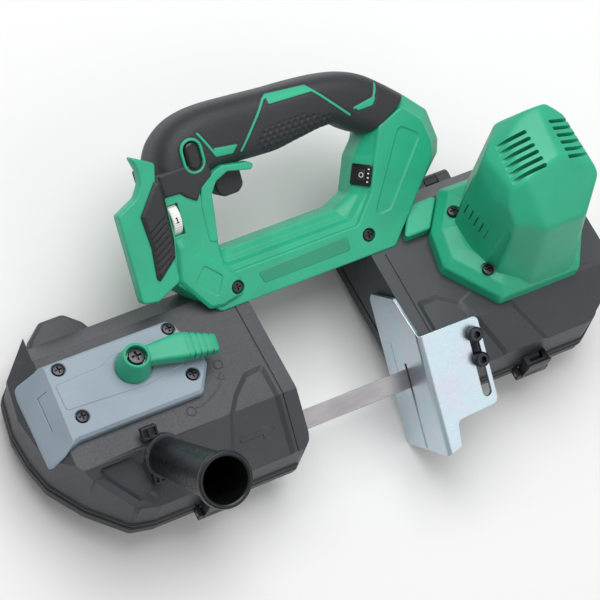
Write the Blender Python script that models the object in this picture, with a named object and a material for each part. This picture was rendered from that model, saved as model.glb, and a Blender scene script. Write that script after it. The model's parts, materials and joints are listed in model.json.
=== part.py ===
"""Hand-held cordless band saw, bare tool, lying on its blade covers and the corner of its work stop.

Tool frame: X runs along the blade from the idler side to the drive side, Y points away from the
cut and Z is the wheel axis, pointing at the motor. X = 0 is the idler housing's wall in the throat,
Y = 0 the front edge of the housings' flat faces and Z = 0 those faces.
Cut frame: the tool frame turned about X, so that its Y runs up the cut (u) and its Z is the normal
of the handle and of the work stop's bolt flange (n).
"""

import math

import bmesh
import bpy
from mathutils import Matrix, Vector

MM = 0.001
GAP = 0.3 * MM  # clearance between pieces that touch
SLIDE_FIT = 0.5 * MM  # clearance of a piece that slides in a pocket
ROUND_SIDES = 20
SMALL_SIDES = 12

# How the saw lies
CUT_TILT = math.radians(36.5)
CENTRE_SHIFT = Vector((-38.6, -60.3)) * MM  # brings the middle of the saw's box over the origin

# Housings and blade covers
THROAT = 92 * MM
WALL = 3 * MM
SPLIT_DEPTH = 49 * MM
COVER_DEPTH = 12.5 * MM
LEFT_FRONT = 32 * MM
RIGHT_FRONT = 25 * MM
LEFT_LENGTH = 168 * MM
RIM_ROOM = 12.4 * MM  # from the drive wheel's tread to the drive housing's end
LEFT_BACK = 101 * MM
RIGHT_BACK = 110 * MM
LEFT_BACK_SLOPE = 65 * MM
RIGHT_BACK_SLOPE = 73 * MM
CORNER_ROUND = 7 * MM
COVER_EDGE = 2 * MM

# Wheels, tyres and blade
WHEEL_RADIUS = 52 * MM
TYRE_THICK = 3 * MM
WHEEL_WIDTH = 15 * MM
WHEEL_Y = 43.3 * MM
WHEEL_DEPTH = 36 * MM
IDLER_X = -105 * MM
DRIVE_INSET = 88.6 * MM  # from the throat's far wall to the drive axis
BLADE_WIDTH = 12.5 * MM
BLADE_THICK = 0.6 * MM
BLADE_ARC_STEPS = 20
TWIST_START = 30 * MM  # from a wheel's tangent point to where the blade starts to twist
AXLE_RADIUS = 5 * MM
SHAFT_RADIUS = 6 * MM
BEARING_RADIUS = 12 * MM
BEARING_WIDTH = 8 * MM
HUB_RADIUS = 17 * MM
WEB_THICK = 5 * MM

# Blade slot and guides
GUIDE_LENGTH = 12 * MM
GUIDE_INSET = 4 * MM
GUIDE_HALF_DEPTH = 14 * MM
SLOT_HALF_DEPTH = 11 * MM
SLOT_HALF_WIDTH = 3.5 * MM

# Bridge that covers the blade's rear run behind the throat
BRIDGE_FRONT = 8 * MM  # from the rear run to the bridge's front side
BRIDGE_REAR = 6.5 * MM
BRIDGE_TOP = -24 * MM
BRIDGE_WALL = 2.5 * MM
RUN_CLEAR = 3 * MM

# Hinges and latches of the covers
HINGE_OFFSET = 11.5 * MM
PIN_RADIUS = 2 * MM
KNUCKLE_RADIUS = 5.5 * MM
LEFT_KNUCKLE = 7 * MM
RIGHT_KNUCKLE = 9.5 * MM
LEFT_HINGE_X = -107.5 * MM
RIGHT_HINGE_INSET = 88 * MM
LATCH_WIDTH = 17 * MM
LATCH_THICK = 3 * MM
LATCH_HEIGHT = 20 * MM
LATCH_STAND = 4.5 * MM
LATCH_BACK = 2.8 * MM  # from the pin to the latch's inner side
LATCH_PIN_RADIUS = 1.2 * MM
LATCH_RISE = 5.5 * MM
LATCH_EAR = 6 * MM
LEFT_LATCH_X = -69 * MM
RIGHT_LATCH_INSET = 85 * MM

# Tension plate, lever, slide and spring
PLATE_THICK = 6 * MM
PLATE_BEVEL = 2.5 * MM
PLATE_SCREW_X = (-138 * MM, -60 * MM)
PLATE_SCREW_Y = (32 * MM, 67 * MM)
SCREW_HEAD_RADIUS = 4 * MM
SCREW_HEAD_HEIGHT = 2.5 * MM
SCREW_RADIUS = 2 * MM
SCREW_LENGTH = 11 * MM
SCREW_SINK = 3 * MM
LEVER_X = -93.6 * MM
LEVER_Y = 50.5 * MM
HUB_BASE_RADIUS = 11.8 * MM
HUB_TOP_RADIUS = 8.8 * MM
HUB_HEIGHT = 17 * MM
LEVER_REACH = 55 * MM
LEVER_WAIST = 29 * MM
LEVER_LOW = 5 * MM
LEVER_HIGH = 15 * MM
CAM_RADIUS = 6 * MM
CAM_LOW = -12.5 * MM
SLIDE_LENGTH = 64 * MM
SLIDE_WIDTH = 30 * MM
SLIDE_HIGH = -8 * MM
SLIDE_LOW = -16 * MM
TENSION_TRAVEL = 6 * MM
SPRING_RADIUS = 5 * MM
SPRING_WIRE = 1.1 * MM
SPRING_LENGTH = 24 * MM
SPRING_TURNS = 5

# Drive: shaft, gears, motor
FLANGE_HALF = 47 * MM
FLANGE_CUT = 27 * MM
FLANGE_SHIFT = 6 * MM  # how far the flange's sides lie off an even octagon about the drive axis
FLANGE_THICK = 10 * MM
MOTOR_HEIGHT = 107 * MM
MOTOR_BASE_HALF = 42 * MM
MOTOR_TOP_HALF = (18.5 * MM, 21 * MM)
MOTOR_LEAN = (4 * MM, 7 * MM)  # how far the top's middle is from the axis
MOTOR_WALL = 4 * MM
MOTOR_SIDES = 24
MOTOR_SCREW_Z = 23 * MM
MOTOR_SCREW_LENGTH = 28 * MM
MOTOR_SCREW_OFFSETS = ((-32.5 * MM, 23.5 * MM), (-31.5 * MM, -24 * MM))
GEAR_POCKET_RADIUS = 35 * MM
GEAR_POCKET_DEPTH = 11 * MM
LAYSHAFT_OFFSET = 17 * MM
PINION_RADIUS = 4 * MM
LAY_PINION_RADIUS = 5.5 * MM
TOOTH_HEIGHT = 1.2 * MM
GEAR_THICK = 6 * MM
PINION_TEETH = 9
LAY_TEETH = 22
LAY_PINION_TEETH = 12
OUTPUT_TEETH = 18
LAYSHAFT_RADIUS = 3 * MM
FIRST_GEAR_LOW = 3 * MM
SECOND_GEAR_LOW = -8 * MM
GEAR_PLATE_LOW = 12 * MM
GEAR_PLATE_THICK = 4 * MM
FAN_LOW = 20 * MM
FAN_HEIGHT = 8 * MM
FAN_RADIUS = 27 * MM
FAN_BLADES = 7
STATOR_LOW = 34 * MM
STATOR_HEIGHT = 42 * MM
STATOR_RADIUS = 28 * MM
STATOR_BORE = 16 * MM
ROTOR_RADIUS = 15 * MM
ROTOR_SHAFT_RADIUS = 3.5 * MM
ROTOR_TOP = 90 * MM
VENTS = 6
VENT_WIDTH = 2.8 * MM
VENT_PITCH = 6.4 * MM
VENT_FLOOR = 93 * MM
VENT_RIDGE = (-6.5 * MM, 12 * MM)

# Handle in the cut frame: u is height above the flat faces' front edge, n the depth
HANDLE_FRONT = -39 * MM
HANDLE_HALF = 21 * MM
HANDLE_MID = HANDLE_FRONT - HANDLE_HALF
BAR_LOW = 54 * MM
BAR_HIGH = 89.5 * MM
BAR_SOLID = 78 * MM  # the bar is solid below this height
FACE_SLOPE = 12 * MM  # depth of the slanted band round the handle's front and rear faces
LEG_TOP = 138 * MM
LEFT_LEG = (-46 * MM, -6 * MM)
GRIP_TOP = 182 * MM
GRIP_THICK = 39 * MM
GRIP_ROUND = 12 * MM
RUBBER = 6 * MM
CORE_HALF = 14 * MM
SHELL_ROUND = 3 * MM
GUARD_REACH = -70 * MM
GUARD_FRONT = -32 * MM
GUARD_THICK = 9 * MM
GUARD_LOW = 77 * MM
RAIL_REACH = -54 * MM
RAIL_THICK = 5 * MM
HANDLE_SCREW_LENGTH = 4.8 * MM
HANDLE_SCREW_INSET = (5 * MM, 2 * MM)  # from the throat's walls
HANDLE_SCREW_RISE = (11.6 * MM, 13.4 * MM)  # above the bar's underside
ARM_THICK = 8 * MM

# Switches on the handle
TRIGGER_X = (4 * MM, 24 * MM)
TRIGGER_DROP = 30 * MM  # from the grip's top to the trigger's top
TRIGGER_LENGTH = 31 * MM
TRIGGER_HALF = 7 * MM
TRIGGER_TRAVEL = 6 * MM
BUTTON_X = -11.3 * MM
BUTTON_DROP = 25.3 * MM
BUTTON_SIZE = (10 * MM, 18 * MM)
BUTTON_PROUD = 1.5 * MM
BUTTON_DEPTH = 10 * MM
BUTTON_TRAVEL = 4 * MM
DIAL_X = -33.2 * MM
DIAL_U = 121 * MM
DIAL_RADIUS = 12 * MM
DIAL_WIDTH = 6.5 * MM
DIAL_PROUD = 1.6 * MM
PANEL_SIZE = (12 * MM, 14 * MM)
PANEL_THICK = 1.4 * MM
KEY_SIZE = (5 * MM, 8 * MM)
KEY_TRAVEL = 0.8 * MM

# Work stop in the cut frame
STOP_THICK = 2.5 * MM
STOP_CLEAR = 1 * MM  # from the drive housing's throat wall
STOP_PAD = 2.7 * MM
STOP_DEPTH = 58 * MM
STOP_TOP = 27 * MM
STOP_SHOULDER = 3 * MM
STOP_LOW = -80.5 * MM
FLANGE_WIDTH = 45.5 * MM
FLANGE_LOW = -58 * MM
FLANGE_TAIL = 11.5 * MM
BOLT_SLOT_X = 39 * MM
BOLT_SLOT_WIDTH = 6.6 * MM
BOLT_RADIUS = 3 * MM
BOLT_HEAD_RADIUS = 5 * MM
BOLT_HEAD_HEIGHT = 6 * MM
BOLT_LENGTH = 14 * MM
BOLT_U = (-8 * MM, -25.5 * MM)
STOP_TRAVEL = 23 * MM
BLADE_SLOT_WIDTH = 3 * MM
BLADE_SLOT_TOP = 10 * MM  # above the blade's middle

# Side handle in the cut frame
SIDE_X = -98 * MM
SIDE_U = -9.8 * MM
SIDE_LENGTH = 95 * MM
SIDE_BASE_RADIUS = 12.5 * MM
SIDE_END_RADIUS = 15.5 * MM
SIDE_LIP_RADIUS = 18 * MM
SIDE_LIP_LENGTH = 5 * MM
SIDE_BORE_RADIUS = 14.3 * MM
SIDE_BORE_BOTTOM = 10 * MM
SIDE_FLOOR = 10 * MM
BOSS_RADIUS = 14.5 * MM
BOSS_HEIGHT = 4 * MM
STUD_RADIUS = 5 * MM
STUD_LENGTH = 9 * MM

DRIVE_X = THROAT + DRIVE_INSET
RIGHT_LENGTH = DRIVE_INSET + WHEEL_RADIUS + RIM_ROOM
RIGHT_HINGE_X = THROAT + RIGHT_HINGE_INSET
RIGHT_LATCH_X = THROAT + RIGHT_LATCH_INSET
TRIGGER_HIGH = GRIP_TOP - TRIGGER_DROP
TRIGGER_LOW = TRIGGER_HIGH - TRIGGER_LENGTH
BUTTON_AT = (BUTTON_X, GRIP_TOP - BUTTON_DROP)
HANDLE_SCREWS = (
    (-HANDLE_SCREW_INSET[0], BAR_LOW + HANDLE_SCREW_RISE[0]),
    (THROAT + HANDLE_SCREW_INSET[1], BAR_LOW + HANDLE_SCREW_RISE[1]),
)
FACE_LOW = -SPLIT_DEPTH
BACK = -SPLIT_DEPTH - COVER_DEPTH
PLATE_TOP = GAP + PLATE_THICK
U_AXIS = Vector((0, math.cos(CUT_TILT), math.sin(CUT_TILT)))
N_AXIS = Vector((0, -math.sin(CUT_TILT), math.cos(CUT_TILT)))
STOP_FRONT = STOP_PAD + GAP + STOP_THICK
STOP_CORNER = U_AXIS * STOP_LOW + N_AXIS * (STOP_FRONT - STOP_DEPTH)
COVER_CORNER = Vector((0, RIGHT_BACK - COVER_EDGE, BACK))
REST_LINE = COVER_CORNER - STOP_CORNER  # the saw lies on these two corners
REST_TILT = math.atan2(REST_LINE.z, REST_LINE.y)
REST_HEIGHT = STOP_CORNER.y * math.sin(REST_TILT) - STOP_CORNER.z * math.cos(REST_TILT)
BLADE_MID = Vector((0, WHEEL_Y - WHEEL_RADIUS - GAP - BLADE_THICK / 2, -WHEEL_DEPTH))
REAR_RUN_Y = WHEEL_Y + WHEEL_RADIUS + GAP + BLADE_THICK / 2
BLADE_U = BLADE_MID.dot(U_AXIS)
BLADE_N = BLADE_MID.dot(N_AXIS)
FAR = 400 * MM

FINISHES = {
    "housing_plastic": ((0.075, 0.08, 0.09, 1), 0.55, 0.0),
    "cover_plastic": ((0.03, 0.03, 0.034, 1), 0.5, 0.0),
    "green_plastic": ((0.02, 0.4, 0.22, 1), 0.4, 0.0),
    "plate_plastic": ((0.25, 0.31, 0.37, 1), 0.5, 0.0),
    "rubber": ((0.02, 0.02, 0.022, 1), 0.75, 0.0),
    "white_plastic": ((0.8, 0.8, 0.78, 1), 0.4, 0.0),
    "zinc_steel": ((0.55, 0.62, 0.65, 1), 0.3, 1.0),
    "blade_steel": ((0.38, 0.37, 0.37, 1), 0.35, 1.0),
    "black_steel": ((0.02, 0.02, 0.02, 1), 0.4, 1.0),
    "bright_steel": ((0.5, 0.5, 0.52, 1), 0.25, 1.0),
    "copper": ((0.7, 0.33, 0.2, 1), 0.35, 1.0),
    "board_green": ((0.02, 0.12, 0.05, 1), 0.5, 0.0),
}

MANY_CUTS = ("left_housing", "right_housing", "handle_front_half", "handle_rear_half", "stop_plate")


# Shapes


def rounded(points, radius, steps=3):
    """The outline with each corner turned into an arc, as far as its two sides allow."""
    result = []
    for i, corner in enumerate(points):
        here = Vector(corner)
        back = Vector(points[i - 1]) - here
        ahead = Vector(points[(i + 1) % len(points)]) - here
        half = back.angle(ahead) / 2
        reach = min(radius / math.tan(half), 0.45 * back.length, 0.45 * ahead.length)
        size = reach * math.tan(half)
        middle = here + (back.normalized() + ahead.normalized()).normalized() * (size / math.sin(half))
        first = here + back.normalized() * reach - middle
        last = here + ahead.normalized() * reach - middle
        turn = first.angle_signed(last)
        for step in range(steps + 1):
            arm = first.copy()
            arm.rotate(Matrix.Rotation(-turn * step / steps, 2))
            result.append(tuple(middle + arm))
    return result


def grown(points, distance):
    """The anticlockwise outline moved outwards by a distance, with its corners kept sharp."""
    result = []
    for i, corner in enumerate(points):
        here = Vector(corner)
        back = (here - Vector(points[i - 1])).normalized()
        ahead = (Vector(points[(i + 1) % len(points)]) - here).normalized()
        side = Vector((back.y, -back.x))
        other = Vector((ahead.y, -ahead.x))
        middle = (side + other).normalized()
        result.append(tuple(here + middle * (distance / middle.dot(side))))
    return result


def new_object(name, mesh, parent, finish=None):
    obj = bpy.data.objects.new(name, mesh)
    bpy.context.scene.collection.objects.link(obj)
    obj.parent = parent
    if finish:
        color, roughness, metallic = FINISHES[finish]
        material = bpy.data.materials.new(f"{name}_{finish}")
        material.use_nodes = True
        shader = material.node_tree.nodes["Principled BSDF"]
        shader.inputs["Base Color"].default_value = color
        shader.inputs["Roughness"].default_value = roughness
        shader.inputs["Metallic"].default_value = metallic
        obj.data.materials.append(material)
    else:
        obj.hide_render = True
        obj.display_type = "WIRE"
    return obj


def from_bmesh(name, bm, parent, finish):
    bmesh.ops.recalc_face_normals(bm, faces=bm.faces)
    mesh = bpy.data.meshes.new(name)
    bm.to_mesh(mesh)
    bm.free()
    return new_object(name, mesh, parent, finish)


def prism(name, points, low, high, parent, finish=None):
    """An outline in the parent's XY plane carried from low to high along its Z."""
    bm = bmesh.new()
    rings = [[bm.verts.new((x, y, z)) for x, y in points] for z in (low, high)]
    count = len(points)
    for i in range(count):
        j = (i + 1) % count
        bm.faces.new((rings[0][i], rings[0][j], rings[1][j], rings[1][i]))
    bm.faces.new(rings[0])
    bm.faces.new(rings[1])
    return from_bmesh(name, bm, parent, finish)


def lofted(name, rings, parent, finish=None):
    """A solid through rings of as many points each, closed by a flat face at both ends."""
    bm = bmesh.new()
    loops = [[bm.verts.new(point) for point in ring] for ring in rings]
    for one, two in zip(loops, loops[1:]):
        for i in range(len(one)):
            bm.faces.new((one[i - 1], one[i], two[i], two[i - 1]))
    bm.faces.new(loops[0])
    bm.faces.new(loops[-1])
    return from_bmesh(name, bm, parent, finish)


def block(name, low, high, parent, finish=None):
    points = ((low[0], low[1]), (high[0], low[1]), (high[0], high[1]), (low[0], high[1]))
    return prism(name, points, low[2], high[2], parent, finish)


def turned(name, profile, parent, finish=None, at=(0, 0, 0), along="Z", sides=ROUND_SIDES):
    """A profile of (radius, height) points turned about an axis through a place, along Z or X."""
    bm = bmesh.new()
    rings = []
    for radius, height in profile:
        if radius < 1e-9:
            rings.append([bm.verts.new((0, 0, height))])
            continue
        angles = [2 * math.pi * i / sides for i in range(sides)]
        circle = [(radius * math.cos(a), radius * math.sin(a), height) for a in angles]
        rings.append([bm.verts.new(point) for point in circle])
    closed = len(rings[0]) > 1 and len(rings[-1]) > 1
    for k in range(len(rings) if closed else len(rings) - 1):
        one = rings[k]
        two = rings[(k + 1) % len(rings)]
        for i in range(sides):
            j = (i + 1) % sides
            corners = [one[i % len(one)], one[j % len(one)], two[j % len(two)], two[i % len(two)]]
            bm.faces.new(list(dict.fromkeys(corners)))
    obj = from_bmesh(name, bm, parent, finish)
    obj.data.shade_smooth()
    obj.data.set_sharp_from_angle(angle=math.radians(35))
    obj.location = at
    if along == "X":
        obj.rotation_euler = (0, math.pi / 2, 0)
    return obj


def rod(name, radius, low, high, parent, finish=None, at=(0, 0, 0), along="Z", sides=ROUND_SIDES):
    profile = ((0, low), (radius, low), (radius, high), (0, high))
    return turned(name, profile, parent, finish, at, along, sides)


def tube(name, inner, outer, low, high, parent, finish=None, at=(0, 0, 0), along="Z", sides=ROUND_SIDES):
    profile = ((inner, low), (outer, low), (outer, high), (inner, high))
    return turned(name, profile, parent, finish, at, along, sides)


def boolean(obj, other, operation):
    step = obj.modifiers.new(operation.lower(), "BOOLEAN")
    step.operation = operation
    step.object = other
    step.solver = "MANIFOLD" if obj.name in MANY_CUTS else "EXACT"
    return obj


def cut(obj, *others):
    for other in others:
        boolean(obj, other, "DIFFERENCE")
    return obj


def join(obj, *others):
    for other in others:
        boolean(obj, other, "UNION")
    return obj


def keep(obj, *others):
    for other in others:
        boolean(obj, other, "INTERSECT")
    return obj


def softened(obj, width, steps=2, angle=40):
    bevel = obj.modifiers.new("edges", "BEVEL")
    bevel.width = width
    bevel.segments = steps
    bevel.limit_method = "ANGLE"
    bevel.angle_limit = math.radians(angle)
    return obj


def set_origin(obj, place):
    """Moves an object's origin to a place in its parent's frame and leaves its shape where it is."""
    move = Vector(place) - obj.location
    turn = obj.rotation_euler.to_matrix().inverted()
    obj.data.transform(Matrix.Translation(-(turn @ move)))
    obj.location = Vector(place)
    return obj


def gear_outline(root, teeth):
    """A wheel with short pointed teeth on its root circle."""
    points = []
    for i in range(teeth):
        for share, radius in ((0.0, root), (0.5, root + TOOTH_HEIGHT)):
            angle = 2 * math.pi * (i + share) / teeth
            points.append((radius * math.cos(angle), radius * math.sin(angle)))
    return points


def right_x(distance):
    """X of a place on the drive side, given from the throat's far wall."""
    return THROAT + distance


# Frames

for old in list(bpy.data.objects):
    bpy.data.objects.remove(old, do_unlink=True)

tool = bpy.data.objects.new("tool_frame", None)
bpy.context.scene.collection.objects.link(tool)
tool.location = (*CENTRE_SHIFT, REST_HEIGHT)
tool.rotation_euler = (-REST_TILT, 0, 0)
cut_frame = bpy.data.objects.new("cut_frame", None)
bpy.context.scene.collection.objects.link(cut_frame)
cut_frame.parent = tool
cut_frame.rotation_euler = (CUT_TILT, 0, 0)


# Housings and covers


def left_outline():
    end = -LEFT_LENGTH
    front = -LEFT_FRONT
    return [
        (0, LEFT_BACK),
        (end + 24 * MM, LEFT_BACK),
        (end + 5 * MM, LEFT_BACK - 19 * MM),
        (end, front + 88 * MM),
        (end + 1.5 * MM, front + 66 * MM),
        (end + 6 * MM, front + 48 * MM),
        (end + 21 * MM, front + 25 * MM),
        (end + 43 * MM, front + 3 * MM),
        (end + 58 * MM, front),
        (0, front),
    ]


def right_outline():
    end = THROAT + RIGHT_LENGTH
    front = -RIGHT_FRONT
    return [
        (THROAT, front),
        (end - 27 * MM, front),
        (end - 7 * MM, front + 14 * MM),
        (end, front + 33 * MM),
        (end, RIGHT_BACK - 28 * MM),
        (end - 24 * MM, RIGHT_BACK),
        (THROAT, RIGHT_BACK),
    ]


def housing_block(name, outline, back_slope, inset, low, finish=None):
    """The housing's outer form, or with an inset the space inside it: flat face, front and back slopes."""
    form = prism(name, rounded(grown(outline, -inset), CORNER_ROUND), low, -inset, tool, finish)
    front = block(name + "_front_slope", (-FAR, -FAR, -inset), (FAR, FAR, FAR), cut_frame)
    back = block(name + "_back_slope", (-FAR, back_slope - inset, -FAR), (FAR, FAR, FAR), cut_frame)
    return cut(form, front, back)


def knuckle(name, x, y, length):
    """A hinge barrel along X at the height of the split."""
    return rod(name, KNUCKLE_RADIUS, -length / 2, length / 2, tool, None, (x, y, FACE_LOW), "X", SMALL_SIDES)


def hinge_parts(side, x, back, length):
    """The barrels of a cover's hinge: two on the housing and one on the cover between them."""
    y = back + HINGE_OFFSET
    at = (x, y, FACE_LOW)
    step = length + 2 * GAP
    fixed = []
    for i, s in enumerate((-1, 1)):
        middle = x + s * step
        low = (middle - length / 2, back - WALL, FACE_LOW + GAP)
        high = (middle + length / 2, y, FACE_LOW + KNUCKLE_RADIUS - 0.5 * MM)
        fixed.append(block(f"{side}_fixed_web_{i}", low, high, tool))
        fixed.append(knuckle(f"{side}_fixed_knuckle_{i}", middle, y, length))
    low = (x - length / 2, back - WALL, FACE_LOW - KNUCKLE_RADIUS + 0.5 * MM)
    high = (x + length / 2, y, FACE_LOW - 2 * GAP)
    moving = (block(f"{side}_moving_web", low, high, tool), knuckle(f"{side}_moving_knuckle", x, y, length))
    reach = 1.5 * length + 2 * GAP
    fit = PIN_RADIUS + GAP
    bore = rod(f"{side}_hinge_bore", fit, -2 * reach, 2 * reach, tool, None, at, "X", SMALL_SIDES)
    rod(f"{side}_hinge_pin", PIN_RADIUS, -reach, reach, tool, "bright_steel", at, "X", SMALL_SIDES)
    return fixed, moving, bore


def blade_slot(name, x):
    """A cutter for the opening in a throat wall that the twisted blade passes through."""
    low = (x - 2 * WALL, BLADE_U - SLOT_HALF_DEPTH, BLADE_N - SLOT_HALF_WIDTH)
    high = (x + 2 * WALL, BLADE_U + SLOT_HALF_DEPTH, BLADE_N + SLOT_HALF_WIDTH)
    return block(name, low, high, cut_frame)


def cover(side, outline, front, moving, bore, hinge, latch_x):
    """A rear blade cover: a tray with its hinge barrel and the two ears that carry the latch."""
    tray = prism(
        f"{side}_blade_cover", rounded(outline, CORNER_ROUND), BACK, FACE_LOW - GAP, tool, "cover_plastic"
    )
    space = prism(f"{side}_cover_space", rounded(grown(outline, -WALL), CORNER_ROUND), BACK + WALL, FAR, tool)
    softened(tray, COVER_EDGE, 1)
    cut(tray, space)
    join(tray, *moving)
    foot = BACK + LATCH_RISE
    latch_y = -front - LATCH_STAND
    for i, s in enumerate((-1, 1)):
        inner = latch_x + s * (LATCH_WIDTH / 2 + GAP)
        outer = inner + s * WALL
        low = (min(inner, outer), latch_y - LATCH_THICK, foot)
        high = (max(inner, outer), -front + WALL / 2, foot + LATCH_EAR)
        join(tray, block(f"{side}_latch_ear_{i}", low, high, tool))
    pin_at = (latch_x, latch_y, foot + LATCH_EAR / 2)
    reach = LATCH_WIDTH / 2 + WALL + GAP
    bore_radius = LATCH_PIN_RADIUS + GAP
    eye = rod(f"{side}_latch_eye", bore_radius, -2 * reach, 2 * reach, tool, None, pin_at, "X", SMALL_SIDES)
    cut(tray, bore, eye)
    rod(f"{side}_latch_pin", LATCH_PIN_RADIUS, -reach, reach, tool, "bright_steel", pin_at, "X", 8)
    head = foot + LATCH_HEIGHT
    outside = latch_y - LATCH_THICK
    profile = [
        (outside, foot),
        (latch_y + LATCH_BACK, foot),
        (latch_y + LATCH_BACK, head - 5 * MM),
        (-front - GAP, head - 3 * MM),
        (-front - GAP, head),
        (outside, head),
        (outside - 2 * MM, head + 3 * MM),
        (outside - 2 * MM, head - 2 * MM),
    ]
    latch = prism(f"{side}_latch", profile, -LATCH_WIDTH / 2, LATCH_WIDTH / 2, tool, "cover_plastic")
    latch.data.transform(Matrix(((0, 0, 1, latch_x), (1, 0, 0, 0), (0, 1, 0, 0), (0, 0, 0, 1))))
    cut(latch, eye)
    set_origin(latch, pin_at)
    set_origin(tray, hinge)
    return tray


def rear_slot(name, x):
    """A cutter for the opening in a throat wall that the blade's rear run passes through."""
    top = -WHEEL_DEPTH + BLADE_WIDTH / 2 + RUN_CLEAR
    low = (x - 2 * WALL, REAR_RUN_Y - RUN_CLEAR, -FAR)
    return block(name, low, (x + 2 * WALL, REAR_RUN_Y + RUN_CLEAR, top), tool)


left_fixed, left_moving, left_bore = hinge_parts("left", LEFT_HINGE_X, LEFT_BACK, LEFT_KNUCKLE)
right_fixed, right_moving, right_bore = hinge_parts("right", RIGHT_HINGE_X, RIGHT_BACK, RIGHT_KNUCKLE)

left_form = (left_outline(), LEFT_BACK_SLOPE)
right_form = (right_outline(), RIGHT_BACK_SLOPE)
left_housing = housing_block("left_housing", *left_form, 0, FACE_LOW, "housing_plastic")
cut(left_housing, housing_block("left_space", *left_form, WALL, -FAR))
side_at = (SIDE_X, SIDE_U, 0)
boss_profile = (
    (0, -STUD_LENGTH - WALL),
    (BOSS_RADIUS, -STUD_LENGTH - WALL),
    (BOSS_RADIUS, BOSS_HEIGHT),
    (STUD_RADIUS + GAP, BOSS_HEIGHT),
    (STUD_RADIUS + GAP, -STUD_LENGTH - GAP),
    (0, -STUD_LENGTH - GAP),
)
boss = turned("side_boss", boss_profile, cut_frame, None, side_at)
boss_mouth = rod("side_boss_mouth", BOSS_RADIUS - 2 * MM, -2 * WALL, FAR, cut_frame, None, side_at)
cut(left_housing, boss_mouth)
join(left_housing, boss, *left_fixed)
cut(left_housing, left_bore, blade_slot("left_blade_slot", 0), rear_slot("left_rear_slot", 0))
cam_bore = rod("cam_bore", CAM_RADIUS + GAP, -2 * WALL, FAR, tool, None, (LEVER_X, LEVER_Y, 0))
cut(left_housing, cam_bore)

right_housing = housing_block("right_housing", *right_form, 0, FACE_LOW, "housing_plastic")
cut(right_housing, housing_block("right_space", *right_form, WALL, -FAR))
axis = (DRIVE_X, WHEEL_Y, 0)
tub_low = -GEAR_POCKET_DEPTH - WALL
bearing_low = tub_low - BEARING_WIDTH
shaft_room = SHAFT_RADIUS + 2 * GAP
tub_profile = (
    (GEAR_POCKET_RADIUS + WALL, -WALL / 3),
    (GEAR_POCKET_RADIUS + WALL, tub_low),
    (BEARING_RADIUS + GAP + WALL, tub_low),
    (BEARING_RADIUS + GAP + WALL, bearing_low),
    (BEARING_RADIUS + GAP, bearing_low),
    (BEARING_RADIUS + GAP, tub_low + GAP),
    (shaft_room, tub_low + GAP),
    (shaft_room, -GEAR_POCKET_DEPTH),
    (GEAR_POCKET_RADIUS, -GEAR_POCKET_DEPTH),
    (GEAR_POCKET_RADIUS, -WALL / 3),
)
tub = turned("gear_tub", tub_profile, tool, None, axis)
mouth = rod("gear_mouth", GEAR_POCKET_RADIUS + WALL / 2, -2 * WALL, FAR, tool, None, axis)
cut(right_housing, mouth)
stop_x = THROAT - STOP_CLEAR - STOP_THICK
pad_x = stop_x + BOLT_SLOT_X
pad = block(
    "stop_pad",
    (pad_x - 9 * MM, BOLT_U[1] - 5 * MM, -WALL / 2),
    (pad_x + 9 * MM, BOLT_U[0] + 6 * MM, STOP_PAD),
    cut_frame,
)
join(right_housing, tub, pad, *right_fixed)
cut(right_housing, right_bore, blade_slot("right_blade_slot", THROAT), rear_slot("right_rear_slot", THROAT))
bridge_low = (GAP, REAR_RUN_Y - BRIDGE_FRONT, FACE_LOW)
bridge_high = (THROAT - GAP, REAR_RUN_Y + BRIDGE_REAR, BRIDGE_TOP)
bridge = block("frame_bridge", bridge_low, bridge_high, tool, "housing_plastic")
bridge_wall = Vector((-WALL, BRIDGE_WALL, -WALL))
run_low = Vector(bridge_low) + bridge_wall
run_high = Vector(bridge_high) - Vector((-WALL, BRIDGE_WALL, BRIDGE_WALL))
cut(bridge, block("bridge_space", run_low, run_high, tool))
for i, u in enumerate(BOLT_U):
    cut(right_housing, rod(f"bolt_bore_{i}", BOLT_RADIUS + GAP, -FAR, FAR, cut_frame, None, (pad_x, u, 0)))

left_hinge = (LEFT_HINGE_X, LEFT_BACK + HINGE_OFFSET, FACE_LOW)
right_hinge = (RIGHT_HINGE_X, RIGHT_BACK + HINGE_OFFSET, FACE_LOW)
cover("left", left_outline(), LEFT_FRONT, left_moving, left_bore, left_hinge, LEFT_LATCH_X)
cover("right", right_outline(), RIGHT_FRONT, right_moving, right_bore, right_hinge, RIGHT_LATCH_X)


# Wheels, tyres, axle, shaft and bearings


def wheel(name, x, bore, finish):
    """A spoked-plate wheel: hub, web and rim in one turning."""
    half = WHEEL_WIDTH / 2
    rim = WHEEL_RADIUS - TYRE_THICK - GAP
    profile = (
        (bore, -half),
        (HUB_RADIUS, -half),
        (HUB_RADIUS, -WEB_THICK / 2),
        (rim - WALL, -WEB_THICK / 2),
        (rim - WALL, -half),
        (rim, -half),
        (rim, half),
        (rim - WALL, half),
        (rim - WALL, WEB_THICK / 2),
        (HUB_RADIUS, WEB_THICK / 2),
        (HUB_RADIUS, half),
        (bore, half),
    )
    return turned(name, profile, tool, finish, (x, WHEEL_Y, -WHEEL_DEPTH), "Z", 28)


def tyre(name, x):
    half = WHEEL_WIDTH / 2
    inner = WHEEL_RADIUS - TYRE_THICK
    at = (x, WHEEL_Y, -WHEEL_DEPTH)
    return tube(name, inner, WHEEL_RADIUS, -half, half, tool, "rubber", at, "Z", 28)


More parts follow.
